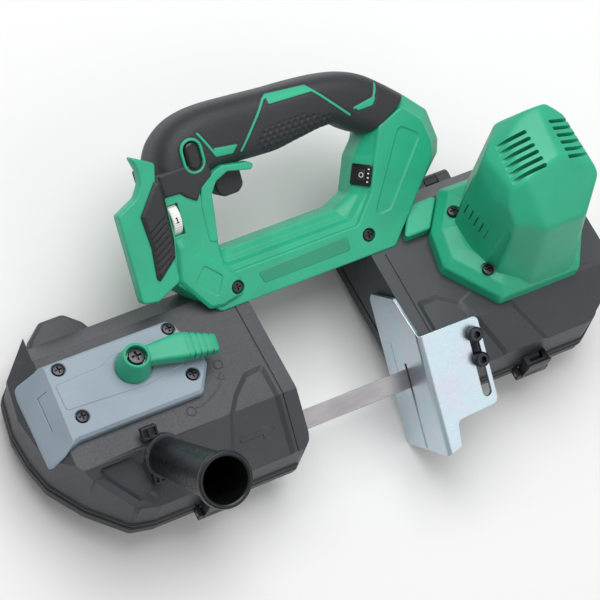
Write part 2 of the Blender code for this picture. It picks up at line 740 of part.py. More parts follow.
idler_at = (IDLER_X, WHEEL_Y, -WHEEL_DEPTH)
drive_at = (DRIVE_X, WHEEL_Y, -WHEEL_DEPTH)
wheel("idler_wheel", IDLER_X, BEARING_RADIUS + GAP, "bright_steel")
tyre("idler_tyre", IDLER_X)
wheel("drive_wheel", DRIVE_X, SHAFT_RADIUS + GAP, "bright_steel")
tyre("drive_tyre", DRIVE_X)
half_bearing = BEARING_WIDTH / 2
idler_fit = AXLE_RADIUS + GAP
tube("idler_bearing", idler_fit, BEARING_RADIUS, -half_bearing, half_bearing, tool, "bright_steel", idler_at)
axle_profile = (
    (0, -half_bearing - 2 * MM),
    (AXLE_RADIUS, -half_bearing - 2 * MM),
    (AXLE_RADIUS, half_bearing + GAP),
    (AXLE_RADIUS + 2 * MM, half_bearing + GAP),
    (AXLE_RADIUS + 2 * MM, SLIDE_LOW + WHEEL_DEPTH - GAP),
    (AXLE_RADIUS, SLIDE_LOW + WHEEL_DEPTH - GAP),
    (AXLE_RADIUS, CAM_LOW + WHEEL_DEPTH - 2 * GAP),
    (0, CAM_LOW + WHEEL_DEPTH - 2 * GAP),
)
turned("idler_axle", axle_profile, tool, "bright_steel", idler_at)
tube("shaft_bearing", SHAFT_RADIUS + GAP, BEARING_RADIUS, bearing_low, tub_low, tool, "bright_steel", axis)
second_top = SECOND_GEAR_LOW + GEAR_THICK
shaft_low = -WHEEL_DEPTH - WHEEL_WIDTH / 2 - MM
rod("drive_shaft", SHAFT_RADIUS, shaft_low, second_top, tool, "bright_steel", axis)


# Blade


def blade_sections():
    """Middle points and width directions round the loop, from the idler's front tangent point."""
    radius = WHEEL_RADIUS + GAP + BLADE_THICK / 2
    upright = math.pi / 2
    twisted = CUT_TILT
    runs = (
        (IDLER_X, upright),
        (IDLER_X + TWIST_START, upright),
        ((IDLER_X + TWIST_START - GUIDE_INSET - GUIDE_LENGTH) / 2, (upright + twisted) / 2),
        (-GUIDE_INSET - GUIDE_LENGTH, twisted),
        (THROAT + GUIDE_INSET + GUIDE_LENGTH, twisted),
        ((DRIVE_X - TWIST_START + THROAT + GUIDE_INSET + GUIDE_LENGTH) / 2, (upright + twisted) / 2),
        (DRIVE_X - TWIST_START, upright),
    )
    sections = [(Vector((x, BLADE_MID.y, BLADE_MID.z)), angle, Vector((0, 1, 0))) for x, angle in runs]
    for x, start in ((DRIVE_X, -math.pi / 2), (IDLER_X, math.pi / 2)):
        for step in range(BLADE_ARC_STEPS + 1):
            turn = start + math.pi * step / BLADE_ARC_STEPS
            out = Vector((math.cos(turn), math.sin(turn), 0))
            middle = Vector((x, WHEEL_Y, -WHEEL_DEPTH)) + out * radius
            sections.append((middle, upright, -out))
    return sections[:-1]


def blade():
    bm = bmesh.new()
    rings = []
    for middle, angle, inward in blade_sections():
        lean = math.cos(angle)
        along = Vector((0, lean, math.sin(angle))) if abs(lean) > 1e-6 else Vector((0, 0, 1))
        across = inward if abs(lean) <= 1e-6 else Vector((0, math.sin(angle), -lean))
        wide = along * (BLADE_WIDTH / 2)
        thick = across * (BLADE_THICK / 2)
        corners = (middle - wide - thick, middle - wide + thick, middle + wide + thick, middle + wide - thick)
        rings.append([bm.verts.new(c) for c in corners])
    for k, ring in enumerate(rings):
        after = rings[(k + 1) % len(rings)]
        for i in range(4):
            j = (i + 1) % 4
            bm.faces.new((ring[i], ring[j], after[j], after[i]))
    return from_bmesh("saw_blade", bm, tool, "blade_steel")


def guide(name, low_x, inside):
    """A guide block under the front slope, slotted for the twisted blade and open downwards."""
    slot_half = BLADE_THICK / 2 + GAP
    low = (low_x, BLADE_U - GUIDE_HALF_DEPTH, BLADE_N - 8 * MM)
    high = (low_x + GUIDE_LENGTH, BLADE_U + GUIDE_HALF_DEPTH, 0)
    body = block(name, low, high, cut_frame, "bright_steel")
    slot_low = (low_x - MM, -FAR, BLADE_N - slot_half)
    slot_high = (low_x + GUIDE_LENGTH + MM, BLADE_U + BLADE_WIDTH / 2 + GAP, BLADE_N + slot_half)
    return cut(keep(body, inside), block(name + "_slot", slot_low, slot_high, cut_frame))


blade()
left_inside = housing_block("left_inside", *left_form, WALL + GAP, FACE_LOW)
right_inside = housing_block("right_inside", *right_form, WALL + GAP, FACE_LOW)
guide("left_blade_guide", -GUIDE_INSET - GUIDE_LENGTH, left_inside)
guide("right_blade_guide", THROAT + GUIDE_INSET, right_inside)


# Tension plate, lever, cam, slide and spring


def tension_plate():
    left = -LEFT_LENGTH + 5 * MM
    top = PLATE_SCREW_Y[1] + 6 * MM
    low = PLATE_SCREW_Y[0] - 14 * MM
    right = PLATE_SCREW_X[1] + 13 * MM
    corners = [
        (left + 1 * MM, low - 8 * MM),
        (left + 17 * MM, low),
        (right - 12 * MM, low),
        (right, low + 18 * MM),
        (right, low + 25 * MM),
        (right - 8 * MM, top - 4 * MM),
        (right - 12 * MM, top),
        (left + 19 * MM, top),
        (left - 1 * MM, top - 9 * MM),
    ]
    plate = prism("tension_plate", rounded(corners, 4 * MM), GAP, PLATE_TOP, tool, "plate_plastic")
    softened(plate, PLATE_BEVEL, 1)
    hole = rod("lever_hole", HUB_BASE_RADIUS + GAP, -FAR, FAR, tool, None, (LEVER_X, LEVER_Y, 0))
    cut(plate, hole)
    for i, x in enumerate(PLATE_SCREW_X):
        for j, y in enumerate(PLATE_SCREW_Y):
            number = 2 * i + j + 1
            at = (x, y, PLATE_TOP - SCREW_SINK)
            sink = rod(f"plate_sink_{number}", SCREW_HEAD_RADIUS + 2 * GAP, 0, FAR, tool, None, at, "Z", 12)
            bore = rod(f"plate_bore_{number}", SCREW_RADIUS + GAP, -FAR / 8, FAR, tool, None, at, "Z", 10)
            cut(plate, sink, bore)
            cut(left_housing, bore)
            screw(f"plate_screw_{number}", tool, at, SCREW_LENGTH)
    return plate


def screw(name, parent, at, length):
    """A pan-head screw whose head's underside is at a place, along the parent's Z."""
    profile = (
        (0, -length),
        (SCREW_RADIUS, -length),
        (SCREW_RADIUS, GAP),
        (SCREW_HEAD_RADIUS, GAP),
        (SCREW_HEAD_RADIUS * 0.8, SCREW_HEAD_HEIGHT),
        (0, SCREW_HEAD_HEIGHT),
    )
    return turned(name, profile, parent, "black_steel", at, "Z", 10)


def tension_lever():
    low = PLATE_TOP + GAP
    at = (LEVER_X, LEVER_Y, 0)
    profile = (
        (CAM_RADIUS + GAP, low),
        (HUB_BASE_RADIUS, low),
        (HUB_TOP_RADIUS + 0.8 * MM, low + HUB_HEIGHT - 1 * MM),
        (HUB_TOP_RADIUS, low + HUB_HEIGHT),
        (HUB_TOP_RADIUS - 2 * MM, low + HUB_HEIGHT),
        (HUB_TOP_RADIUS - 2 * MM, low + HUB_HEIGHT - 5 * MM),
        (CAM_RADIUS + GAP, low + HUB_HEIGHT - 5 * MM),
    )
    hub = turned("tension_lever", profile, tool, "green_plastic", at)
    arm = [
        (HUB_TOP_RADIUS - MM, -7 * MM),
        (LEVER_WAIST, -11.5 * MM),
        (LEVER_REACH - 4 * MM, -15 * MM),
        (LEVER_REACH, -3.5 * MM),
        (LEVER_WAIST + 6 * MM, 6 * MM),
        (HUB_TOP_RADIUS - MM, 7.5 * MM),
    ]
    bar = prism("lever_bar", rounded(arm, 2 * MM), low + LEVER_LOW, low + LEVER_HIGH, tool)
    softened(bar, 1.5 * MM)
    bar.location = at
    clear = rod("lever_clear", HUB_TOP_RADIUS - 1.9 * MM, -FAR, FAR, tool, None, at)
    cut(bar, clear)
    return join(hub, bar)


def tension_slide():
    """The block that carries the idler axle, with the cam's cross slot and the spring's seat."""
    left = IDLER_X - 20 * MM
    half = SLIDE_WIDTH / 2
    body = block(
        "tension_slide",
        (left, WHEEL_Y - half, SLIDE_LOW),
        (left + SLIDE_LENGTH, WHEEL_Y + half, SLIDE_HIGH),
        tool,
        "bright_steel",
    )
    slot_half = CAM_RADIUS + TENSION_TRAVEL + GAP
    slot = block(
        "cam_slot",
        (LEVER_X - slot_half, LEVER_Y - CAM_RADIUS - GAP - 2 * MM, -FAR),
        (LEVER_X + slot_half, LEVER_Y + CAM_RADIUS + GAP + 2 * MM, FAR),
        tool,
    )
    bore = rod("axle_bore", AXLE_RADIUS + GAP, -FAR, FAR, tool, None, (IDLER_X, WHEEL_Y, 0))
    set_origin(body, (IDLER_X, WHEEL_Y, SLIDE_LOW))
    return cut(body, slot, bore)


def tension_spring():
    """A coil spring along X at the slide's throat end."""
    start = IDLER_X - 20 * MM + SLIDE_LENGTH + GAP + SPRING_WIRE
    middle_z = (SLIDE_HIGH + SLIDE_LOW) / 2
    steps = SPRING_TURNS * 10
    bm = bmesh.new()
    rings = []
    for i in range(steps + 1):
        turn = 2 * math.pi * SPRING_TURNS * i / steps
        middle = Vector((start + (SPRING_LENGTH - 2 * SPRING_WIRE) * i / steps, WHEEL_Y, middle_z))
        out = Vector((0, math.cos(turn), math.sin(turn)))
        ring = []
        for side in range(4):
            angle = math.pi * side / 2
            wire = out * (SPRING_RADIUS + SPRING_WIRE * math.cos(angle))
            ring.append(bm.verts.new(middle + wire + Vector((SPRING_WIRE * math.sin(angle), 0, 0))))
        rings.append(ring)
    for one, two in zip(rings, rings[1:]):
        for i in range(4):
            bm.faces.new((one[i], one[i - 1], two[i - 1], two[i]))
    bm.faces.new(rings[0])
    bm.faces.new(rings[-1])
    return from_bmesh("tension_spring", bm, tool, "bright_steel")


tension_plate()
tension_lever()
cam_top = PLATE_TOP + GAP + HUB_HEIGHT - 5 * MM
rod("tension_cam", CAM_RADIUS, CAM_LOW, cam_top, tool, "bright_steel", (LEVER_X, LEVER_Y, 0))
lever_screw_at = (LEVER_X, LEVER_Y, cam_top + GAP)
lever_screw_profile = (
    (0, 0),
    (HUB_TOP_RADIUS - 2.6 * MM, 0),
    (HUB_TOP_RADIUS - 2.8 * MM, 2.5 * MM),
    (HUB_TOP_RADIUS - 4.5 * MM, 3.5 * MM),
    (0, 3.5 * MM),
)
turned("lever_screw", lever_screw_profile, tool, "black_steel", lever_screw_at, "Z", 16)
tension_slide()
tension_spring()


# Motor, gears and their housing

flange_corners = [
    (FLANGE_HALF + FLANGE_SHIFT, -FLANGE_HALF + FLANGE_CUT + FLANGE_SHIFT),
    (FLANGE_HALF + FLANGE_SHIFT, FLANGE_HALF - FLANGE_CUT),
    (FLANGE_HALF - FLANGE_CUT + 2 * FLANGE_SHIFT, FLANGE_HALF),
    (-FLANGE_HALF + FLANGE_CUT - FLANGE_SHIFT, FLANGE_HALF),
    (-FLANGE_HALF, FLANGE_HALF - FLANGE_CUT),
    (-FLANGE_HALF - 0.8 * FLANGE_SHIFT, -FLANGE_SHIFT),
    (-FLANGE_HALF + FLANGE_CUT - FLANGE_SHIFT, -FLANGE_HALF + FLANGE_SHIFT),
    (FLANGE_HALF - FLANGE_CUT + 2.5 * FLANGE_SHIFT, -FLANGE_HALF + FLANGE_SHIFT),
]
flange_outline = [(DRIVE_X + x, WHEEL_Y + y) for x, y in flange_corners]


def motor_ring(share, half_x, half_y, z):
    """A rounded square section of the motor's body; share is how far its middle leans to the top's."""
    ring = []
    for i in range(MOTOR_SIDES):
        turn = 2 * math.pi * (i + 0.5) / MOTOR_SIDES
        c, s = math.cos(turn), math.sin(turn)
        size = (abs(c) ** 3.2 + abs(s) ** 3.2) ** (-1 / 3.2)
        x = DRIVE_X + share * MOTOR_LEAN[0] + half_x * size * c
        y = WHEEL_Y + share * MOTOR_LEAN[1] + half_y * size * s
        ring.append((x, y, z))
    return ring


def motor_housing():
    """An octagonal flange with a tall faceted body, open towards the gears, and vents over its shoulders."""
    flange = prism("motor_housing", rounded(flange_outline, 4 * MM), GAP, FLANGE_THICK, tool, "green_plastic")
    softened(flange, 3 * MM, 1)
    base = MOTOR_BASE_HALF
    top = MOTOR_HEIGHT
    rings = [
        motor_ring(0.4, base, base, FLANGE_THICK / 2),
        motor_ring(0.5, base - 3 * MM, base - 2 * MM, 0.38 * top),
        motor_ring(0.7, base - 6 * MM, base - 4.5 * MM, 0.69 * top),
        motor_ring(0.9, base - 8.8 * MM, base - 8 * MM, 0.86 * top),
        motor_ring(1, MOTOR_TOP_HALF[0] + 8 * MM, MOTOR_TOP_HALF[1] + 8 * MM, 0.96 * top),
        motor_ring(1, *MOTOR_TOP_HALF, top),
    ]
    inside = (
        (0, -FAR / 10),
        (GEAR_POCKET_RADIUS, -FAR / 10),
        (GEAR_POCKET_RADIUS, GEAR_PLATE_LOW + GEAR_PLATE_THICK + 2 * MM),
        (STATOR_RADIUS + GAP, STATOR_LOW - 4 * MM),
        (STATOR_RADIUS + GAP, STATOR_LOW + STATOR_HEIGHT),
        (MOTOR_TOP_HALF[0], top - 2 * MOTOR_WALL),
        (0, top - 2 * MOTOR_WALL),
    )
    join(flange, lofted("motor_outside", rings, tool))
    cut(flange, turned("motor_inside", inside, tool, None, axis, "Z", MOTOR_SIDES))
    for i in range(VENTS):
        y = WHEEL_Y + MOTOR_LEAN[1] + VENT_PITCH * (i - (VENTS - 1) / 2)
        for side, start in (("left", VENT_RIDGE[0] - FAR), ("right", VENT_RIDGE[1])):
            x = DRIVE_X + MOTOR_LEAN[0] + start
            low = (x, y - VENT_WIDTH / 2, VENT_FLOOR)
            high = (x + FAR, y + VENT_WIDTH / 2, FAR)
            cut(flange, block(f"{side}_vent_{i}", low, high, tool))
    for i, (x, y) in enumerate(MOTOR_SCREW_OFFSETS):
        at = (DRIVE_X + x, WHEEL_Y + y, MOTOR_SCREW_Z)
        spot = rod(f"motor_spot_{i}", SCREW_HEAD_RADIUS + 2 * GAP, 0, FAR, tool, None, at, "Z", SMALL_SIDES)
        bore = rod(f"motor_bore_{i}", SCREW_RADIUS + GAP, -FAR / 8, MM, tool, None, at, "Z", SMALL_SIDES)
        cut(flange, spot, bore)
        cut(right_housing, bore)
        screw(f"motor_screw_{i + 1}", tool, at, MOTOR_SCREW_LENGTH)
    return flange


def gear(name, root, teeth, low, bore, finish="bright_steel", at=axis):
    disc = prism(name, gear_outline(root, teeth), low, low + GEAR_THICK, tool, finish)
    disc.location = at
    if bore:
        cut(disc, rod(name + "_bore", bore, -FAR, FAR, tool, None, at, "Z", SMALL_SIDES))
    return disc


motor_housing()
lay_at = (DRIVE_X + LAYSHAFT_OFFSET, WHEEL_Y, 0)
output_root = LAYSHAFT_OFFSET - LAY_PINION_RADIUS - 2 * TOOTH_HEIGHT - GAP
lay_root = LAYSHAFT_OFFSET - PINION_RADIUS - 2 * TOOTH_HEIGHT - GAP
output_gear = gear("output_gear", output_root, OUTPUT_TEETH, SECOND_GEAR_LOW, SHAFT_RADIUS + GAP)
lay = gear("layshaft_gears", lay_root, LAY_TEETH, FIRST_GEAR_LOW, 0, "bright_steel", lay_at)
lay_pinion = gear("layshaft_pinion", LAY_PINION_RADIUS, LAY_PINION_TEETH, SECOND_GEAR_LOW, 0, None, lay_at)
lay_low = -GEAR_POCKET_DEPTH + GAP
lay_rod = rod("layshaft_rod", LAYSHAFT_RADIUS, lay_low, GEAR_PLATE_LOW - GAP, tool, None, lay_at, "Z", 12)
join(lay, lay_pinion, lay_rod)

plate_radius = GEAR_POCKET_RADIUS - GAP
gear_plate = tube(
    "gear_plate",
    ROTOR_SHAFT_RADIUS + 2 * GAP,
    plate_radius,
    GEAR_PLATE_LOW,
    GEAR_PLATE_LOW + GEAR_PLATE_THICK,
    tool,
    "bright_steel",
    axis,
    "Z",
    MOTOR_SIDES,
)

rotor = gear("rotor", PINION_RADIUS, PINION_TEETH, FIRST_GEAR_LOW, 0, "bright_steel")
shaft_foot = FIRST_GEAR_LOW + MM
rotor_shaft = rod("rotor_shaft", ROTOR_SHAFT_RADIUS, shaft_foot, ROTOR_TOP, tool, None, axis, "Z", 16)
core_low = STATOR_LOW + 2 * MM
core_high = STATOR_LOW + STATOR_HEIGHT - 2 * MM
rotor_core = rod("rotor_core", ROTOR_RADIUS, core_low, core_high, tool, None, axis)
join(rotor, rotor_shaft, rotor_core)
tube(
    "stator",
    STATOR_BORE,
    STATOR_RADIUS,
    STATOR_LOW,
    STATOR_LOW + STATOR_HEIGHT,
    tool,
    "copper",
    axis,
)


def fan():
    bore = ROTOR_SHAFT_RADIUS + GAP
    disc = tube("motor_fan", bore, FAN_RADIUS, FAN_LOW, FAN_LOW + 2 * MM, tool, "rubber", axis)
    hub = tube("fan_hub", bore, bore + 3 * MM, FAN_LOW + MM, FAN_LOW + FAN_HEIGHT, tool, None, axis)
    join(disc, hub)
    for i in range(FAN_BLADES):
        low = (bore + 2 * MM, -0.8 * MM, FAN_LOW + MM)
        high = (FAN_RADIUS - MM, 0.8 * MM, FAN_LOW + FAN_HEIGHT)
        vane = block(f"fan_vane_{i}", low, high, tool)
        vane.location = axis
        vane.rotation_euler = (0, 0, 2 * math.pi * i / FAN_BLADES)
        join(disc, vane)
    return disc


fan()


# Handle


def leg_points():
    """Left leg, bar and right leg seen along n: each corner in the middle and on the front and rear faces."""
    left, inner = LEFT_LEG
    return [
        ((left + 24 * MM, BAR_LOW), (left + 26 * MM, BAR_LOW)),
        ((right_x(21 * MM), BAR_LOW), (right_x(19 * MM), BAR_LOW)),
        ((right_x(29 * MM), BAR_LOW + 7 * MM), (right_x(25 * MM), BAR_LOW + 7 * MM)),
        ((right_x(71 * MM), BAR_LOW + 47 * MM), (right_x(61 * MM), BAR_LOW + 48 * MM)),
        ((right_x(74 * MM), BAR_LOW + 56 * MM), (right_x(63 * MM), BAR_LOW + 58 * MM)),
        ((right_x(71 * MM), LEG_TOP - 7 * MM), (right_x(60 * MM), LEG_TOP - 10 * MM)),
        ((right_x(55 * MM), LEG_TOP + 10 * MM), (right_x(48 * MM), LEG_TOP + 3 * MM)),
        ((right_x(24 * MM), LEG_TOP - 7 * MM), (right_x(29 * MM), LEG_TOP - 4 * MM)),
        (PANEL_HIGH, PANEL_HIGH_FACE),
        (PANEL_LOW, PANEL_LOW_FACE),
        ((right_x(-12 * MM), BAR_HIGH), (right_x(-4 * MM), BAR_HIGH - 9.5 * MM)),
        ((inner + 1 * MM, BAR_HIGH), (inner - 6 * MM, BAR_HIGH - 9.5 * MM)),
        ((inner, LEG_TOP), (inner - 8 * MM, LEG_TOP)),
        ((left + 9 * MM, LEG_TOP), (left + 11 * MM, LEG_TOP)),
        ((left, LEG_TOP - 8 * MM), (left + 2 * MM, LEG_TOP - 8 * MM)),
        ((left, BAR_LOW + 26 * MM), (left + 2 * MM, BAR_LOW + 26 * MM)),
    ]


def grip_outline():
    """The rubber grip from the left leg's top over the hand to the right leg's top."""
    under = GRIP_TOP - GRIP_THICK
    return [
        (LEFT_LEG[0] + 9 * MM, LEG_TOP),
        (LEFT_LEG[1], LEG_TOP),
        (27 * MM, under - 3 * MM),
        (48 * MM, under - 4 * MM),
        (70 * MM, under - 1 * MM),
        (right_x(2 * MM), under),
        (right_x(12 * MM), LEG_TOP - 3 * MM),
        (right_x(22 * MM), LEG_TOP - 8 * MM),
        (right_x(55 * MM), LEG_TOP + 10 * MM),
        (right_x(39 * MM), GRIP_TOP - 19 * MM),
        (right_x(28 * MM), GRIP_TOP - 11 * MM),
        (right_x(0), GRIP_TOP - 5 * MM),
        (55 * MM, GRIP_TOP - 3.5 * MM),
        (11 * MM, GRIP_TOP - 1.5 * MM),
        (-10 * MM, GRIP_TOP),
        (-23 * MM, GRIP_TOP - 6 * MM),
        (LEFT_LEG[0] + 12.5 * MM, GRIP_TOP - 22 * MM),
    ]


def core_outline():
    """The shell's core inside the grip, running on into both legs."""
    under = GRIP_TOP - GRIP_THICK + RUBBER
    over = GRIP_TOP - RUBBER
    return [
        (LEFT_LEG[0] + 15 * MM, LEG_TOP - 12 * MM),
        (LEFT_LEG[1] - RUBBER, LEG_TOP - 12 * MM),
        (LEFT_LEG[1] - RUBBER + 1 * MM, LEG_TOP + 6 * MM),
        (27 * MM, under - 2 * MM),
        (right_x(4.5 * MM), under),
        (right_x(17 * MM), LEG_TOP + 1 * MM),
        (right_x(29 * MM), LEG_TOP - 16 * MM),
        (right_x(48 * MM), LEG_TOP - 4 * MM),
        (right_x(35.5 * MM), over - 17.5 * MM),
        (right_x(26 * MM), over - 10.8 * MM),
        (right_x(-1 * MM), over - 5 * MM),
        (55 * MM, over - 3.5 * MM),
        (11 * MM, over - 1.5 * MM),
        (-9 * MM, over),
        (-20 * MM, over - 5 * MM),
        (LEFT_LEG[0] + 19 * MM, over - 19 * MM),
    ]


def left_pocket():
    """The hollow of the left leg."""
    left = LEFT_LEG[0] + 2 * WALL
    right = LEFT_LEG[1] - 4 * WALL
    top = LEG_TOP - 2 * WALL
    return [(left, BAR_SOLID), (right, BAR_SOLID), (right, top), (left + WALL, top)]


def right_pocket():
    """The hollow of the right leg."""
    return [
        (right_x(24 * MM), BAR_SOLID),
        (right_x(30 * MM), BAR_SOLID),
        (right_x(55 * MM), BAR_LOW + 50 * MM),
        (right_x(58 * MM), BAR_LOW + 59 * MM),
        (right_x(56 * MM), LEG_TOP - 12 * MM),
        (right_x(46 * MM), LEG_TOP - 3 * MM),
        (right_x(34 * MM), LEG_TOP - 10 * MM),
        (right_x(27 * MM), BAR_HIGH + 24 * MM),
    ]


def guard_outline():
    """The swept guard in front of the battery's place."""
    right = LEFT_LEG[0] + 2 * MM
    return [
        (GUARD_REACH, GUARD_LOW + 2 * MM),
        (GUARD_REACH + 10 * MM, GUARD_LOW),
        (right, GUARD_LOW + 7 * MM),
        (right + 2 * MM, LEG_TOP + 12 * MM),
        (right + 4 * MM, LEG_TOP + 22 * MM),
        (right - 6 * MM, LEG_TOP + 31 * MM),
        (right - 9 * MM, LEG_TOP + 15 * MM),
        (GUARD_REACH + 8 * MM, LEG_TOP + 5 * MM),
        (GUARD_REACH, LEG_TOP + 1 * MM),
    ]


def stadium(at, size, steps=6):
    """An upright oval with round ends."""
    half = size[0] / 2
    straight = size[1] / 2 - half
    points = []
    for start, y in ((-math.pi, -straight), (0, straight)):
        for step in range(steps + 1):
            turn = start + math.pi * step / steps
            points.append((at[0] + half * math.cos(turn), at[1] + y + half * math.sin(turn)))
    return points


def rectangle(at, size):
    x, y = size[0] / 2, size[1] / 2
    return [(at[0] + s * x, at[1] + t * y) for s, t in ((-1, -1), (1, -1), (1, 1), (-1, 1))]


def mirrored(n):
    return 2 * HANDLE_MID - n


def span(front, deep, side):
    """Low and high n of a piece between two depths, on the front half or mirrored to the rear one."""
    pair = (front, deep) if side == "front" else (mirrored(front), mirrored(deep))
    return min(pair), max(pair)


def half_shell(side):
    """One half of the handle: legs and bar with hollows, the grip's core and a battery rail."""
    split, face = HANDLE_MID + GAP / 2, HANDLE_FRONT
    levels = [(0, split), (0, face - FACE_SLOPE), (1, face)]
    rings = []
    for which, n in levels:
        corners = rounded([pair[which] for pair in leg_points()], SHELL_ROUND, 2)
        depth = n if side == "front" else mirrored(n)
        rings.append([(x, u, depth) for x, u in corners])
    shell = lofted(f"handle_{side}_half", rings, cut_frame, "green_plastic")
    hollow = span(face - 2 * WALL, HANDLE_MID - MM, side)
    channel = span(face - FACE_SLOPE - WALL, HANDLE_MID - MM, side)
    wires = [
        (LEFT_LEG[1] - 5 * WALL, BAR_SOLID + MM),
        (right_x(26 * MM), BAR_SOLID + MM),
        (right_x(26 * MM), BAR_HIGH - WALL),
        (LEFT_LEG[1] - 5 * WALL, BAR_HIGH - WALL),
    ]
    cut(
        shell,
        prism(f"{side}_left_hollow", left_pocket(), *hollow, cut_frame),
        prism(f"{side}_right_hollow", right_pocket(), *hollow, cut_frame),
        prism(f"{side}_wire_channel", wires, *channel, cut_frame),
    )
    rail_n = span(face - FACE_SLOPE, face - FACE_SLOPE - RAIL_THICK, side)
    rail_low = (RAIL_REACH, GUARD_LOW + 9 * MM, rail_n[0])
    rail_high = (LEFT_LEG[0] + 2 * MM, LEG_TOP - 12 * MM, rail_n[1])
    join(shell, block(f"{side}_rail", rail_low, rail_high, cut_frame))
    if side == "front":
        guard = rounded(guard_outline(), 1.5 * MM, 2)
        join(shell, prism("battery_guard", guard, GUARD_FRONT - GUARD_THICK, GUARD_FRONT, cut_frame))
    room = prism(f"{side}_grip_room", grown(grip_outline(), GAP), -FAR, FAR, cut_frame)
    core = prism(f"{side}_core", core_outline(), *span(HANDLE_MID + CORE_HALF, split, side), cut_frame)
    cut(shell, room)
    join(shell, core)
    return cut(shell, left_room, right_room, bridge_room, trigger_room, switch_room)


# Corners of the slanted face of the right leg that carries the control panel
PANEL_HIGH = (right_x(11 * MM), LEG_TOP - 20 * MM)
PANEL_LOW = (right_x(1 * MM), BAR_HIGH + 5.5 * MM)
PANEL_HIGH_FACE = (right_x(21 * MM), LEG_TOP - 22 * MM)
PANEL_LOW_FACE = (right_x(11 * MM), BAR_HIGH + 3.5 * MM)

left_room = housing_block("left_room", *left_form, -GAP, -FAR)
right_room = housing_block("right_room", *right_form, -GAP, -FAR)
fit = Vector((GAP, GAP, GAP))
past_corners = Vector((CORNER_ROUND, 0, 0))  # the housings' corners at the throat are round
room_low = Vector(bridge_low) - fit - past_corners
bridge_room = block("bridge_room", room_low, Vector(bridge_high) + fit + past_corners, tool)
room_top = TRIGGER_HIGH + TRIGGER_TRAVEL + SLIDE_FIT
trigger_room = block(
    "trigger_room",
    (TRIGGER_X[0] - SLIDE_FIT, BAR_HIGH + 15 * MM, HANDLE_MID - TRIGGER_HALF - SLIDE_FIT),
    (TRIGGER_X[1] + SLIDE_FIT, room_top, HANDLE_MID + TRIGGER_HALF + SLIDE_FIT),
    cut_frame,
)
switch_low = (TRIGGER_X[0] - 9 * MM, room_top + 2 * MM, HANDLE_MID - 9 * MM)
switch_high = (TRIGGER_X[1] + 10 * MM, room_top + 12 * MM, HANDLE_MID + 9 * MM)
switch_room = block("switch_room", Vector(switch_low) - fit, Vector(switch_high) + fit, cut_frame)

front_half = half_shell("front")
rear_half = half_shell("rear")

grip = prism(
    "rubber_grip",
    grip_outline(),
    HANDLE_MID - HANDLE_HALF - MM,
    HANDLE_MID + HANDLE_HALF + MM,
    cut_frame,
    "rubber",
)
softened(grip, GRIP_ROUND, 3, 60)
core_room = prism(
    "core_room",
    grown(core_outline(), GAP),
    HANDLE_MID - CORE_HALF - GAP,
    HANDLE_MID + CORE_HALF + GAP,
    cut_frame,
)
cut(grip, core_room, trigger_room)

# Bridge from the right leg's foot to the motor's flange
arm_outline = [
    (right_x(24 * MM), BAR_LOW + 13 * MM),
    (DRIVE_X - FLANGE_HALF + 6 * MM, BAR_LOW + 13 * MM),
    (DRIVE_X - FLANGE_CUT, BAR_LOW + 34 * MM),
    (right_x(38 * MM), BAR_LOW + 34 * MM),
]
arm = prism("flange_arm", arm_outline, GAP, ARM_THICK, tool)
flange_room = prism("flange_room", grown(flange_outline, GAP), -FAR, FAR, tool)
cut(arm, flange_room)
join(front_half, arm)

for i, (x, u) in enumerate(HANDLE_SCREWS):
    at = (x, u, HANDLE_FRONT - SCREW_SINK)
    sink = rod(f"handle_sink_{i}", SCREW_HEAD_RADIUS + 2 * GAP, 0, FAR, cut_frame, None, at, "Z", 12)
    bore_low = -HANDLE_SCREW_LENGTH - GAP
    bore = rod(f"handle_bore_{i}", SCREW_RADIUS + GAP, bore_low, MM, cut_frame, None, at, "Z", 10)
    cut(front_half, sink, bore)
    screw(f"handle_screw_{i + 1}", cut_frame, at, HANDLE_SCREW_LENGTH)

trigger = block(
    "trigger",
    (TRIGGER_X[0], TRIGGER_LOW, HANDLE_MID - TRIGGER_HALF),
    (TRIGGER_X[1], TRIGGER_HIGH, HANDLE_MID + TRIGGER_HALF),
    cut_frame,
    "rubber",
)
softened(trigger, 2 * MM)
set_origin(trigger, ((TRIGGER_X[0] + TRIGGER_X[1]) / 2, TRIGGER_LOW, HANDLE_MID))
block("switch_body", switch_low, switch_high, cut_frame, "cover_plastic")

button_top = HANDLE_MID + HANDLE_HALF + MM + BUTTON_PROUD
button = prism(
    "lock_off_button",
    stadium(BUTTON_AT, BUTTON_SIZE),
    button_top - BUTTON_DEPTH,
    button_top,
    cut_frame,
    "rubber",
)
set_origin(button, (*BUTTON_AT, button_top))
button_size = (BUTTON_SIZE[0] + 2 * SLIDE_FIT, BUTTON_SIZE[1] + 2 * SLIDE_FIT)
button_room = prism(
    "button_room",
    stadium(BUTTON_AT, button_size),
    button_top - BUTTON_DEPTH - BUTTON_TRAVEL - SLIDE_FIT,
    FAR,
    cut_frame,
)
cut(grip, button_room)
cut(front_half, button_room)

dial_n = HANDLE_FRONT + DIAL_PROUD - DIAL_RADIUS
rod(
    "speed_dial",
    DIAL_RADIUS,
    -DIAL_WIDTH / 2,
    DIAL_WIDTH / 2,
    cut_frame,
    "white_plastic",
    (DIAL_X, DIAL_U, dial_n),
    "X",
    32,
)
dial_room = block(
    "dial_room",
    (DIAL_X - DIAL_WIDTH / 2 - SLIDE_FIT, DIAL_U - DIAL_RADIUS - SLIDE_FIT, dial_n - DIAL_RADIUS - SLIDE_FIT),
    (DIAL_X + DIAL_WIDTH / 2 + SLIDE_FIT, DIAL_U + DIAL_RADIUS + SLIDE_FIT, FAR),
    cut_frame,
)
cut(front_half, dial_room)
cut(rear_half, dial_room)

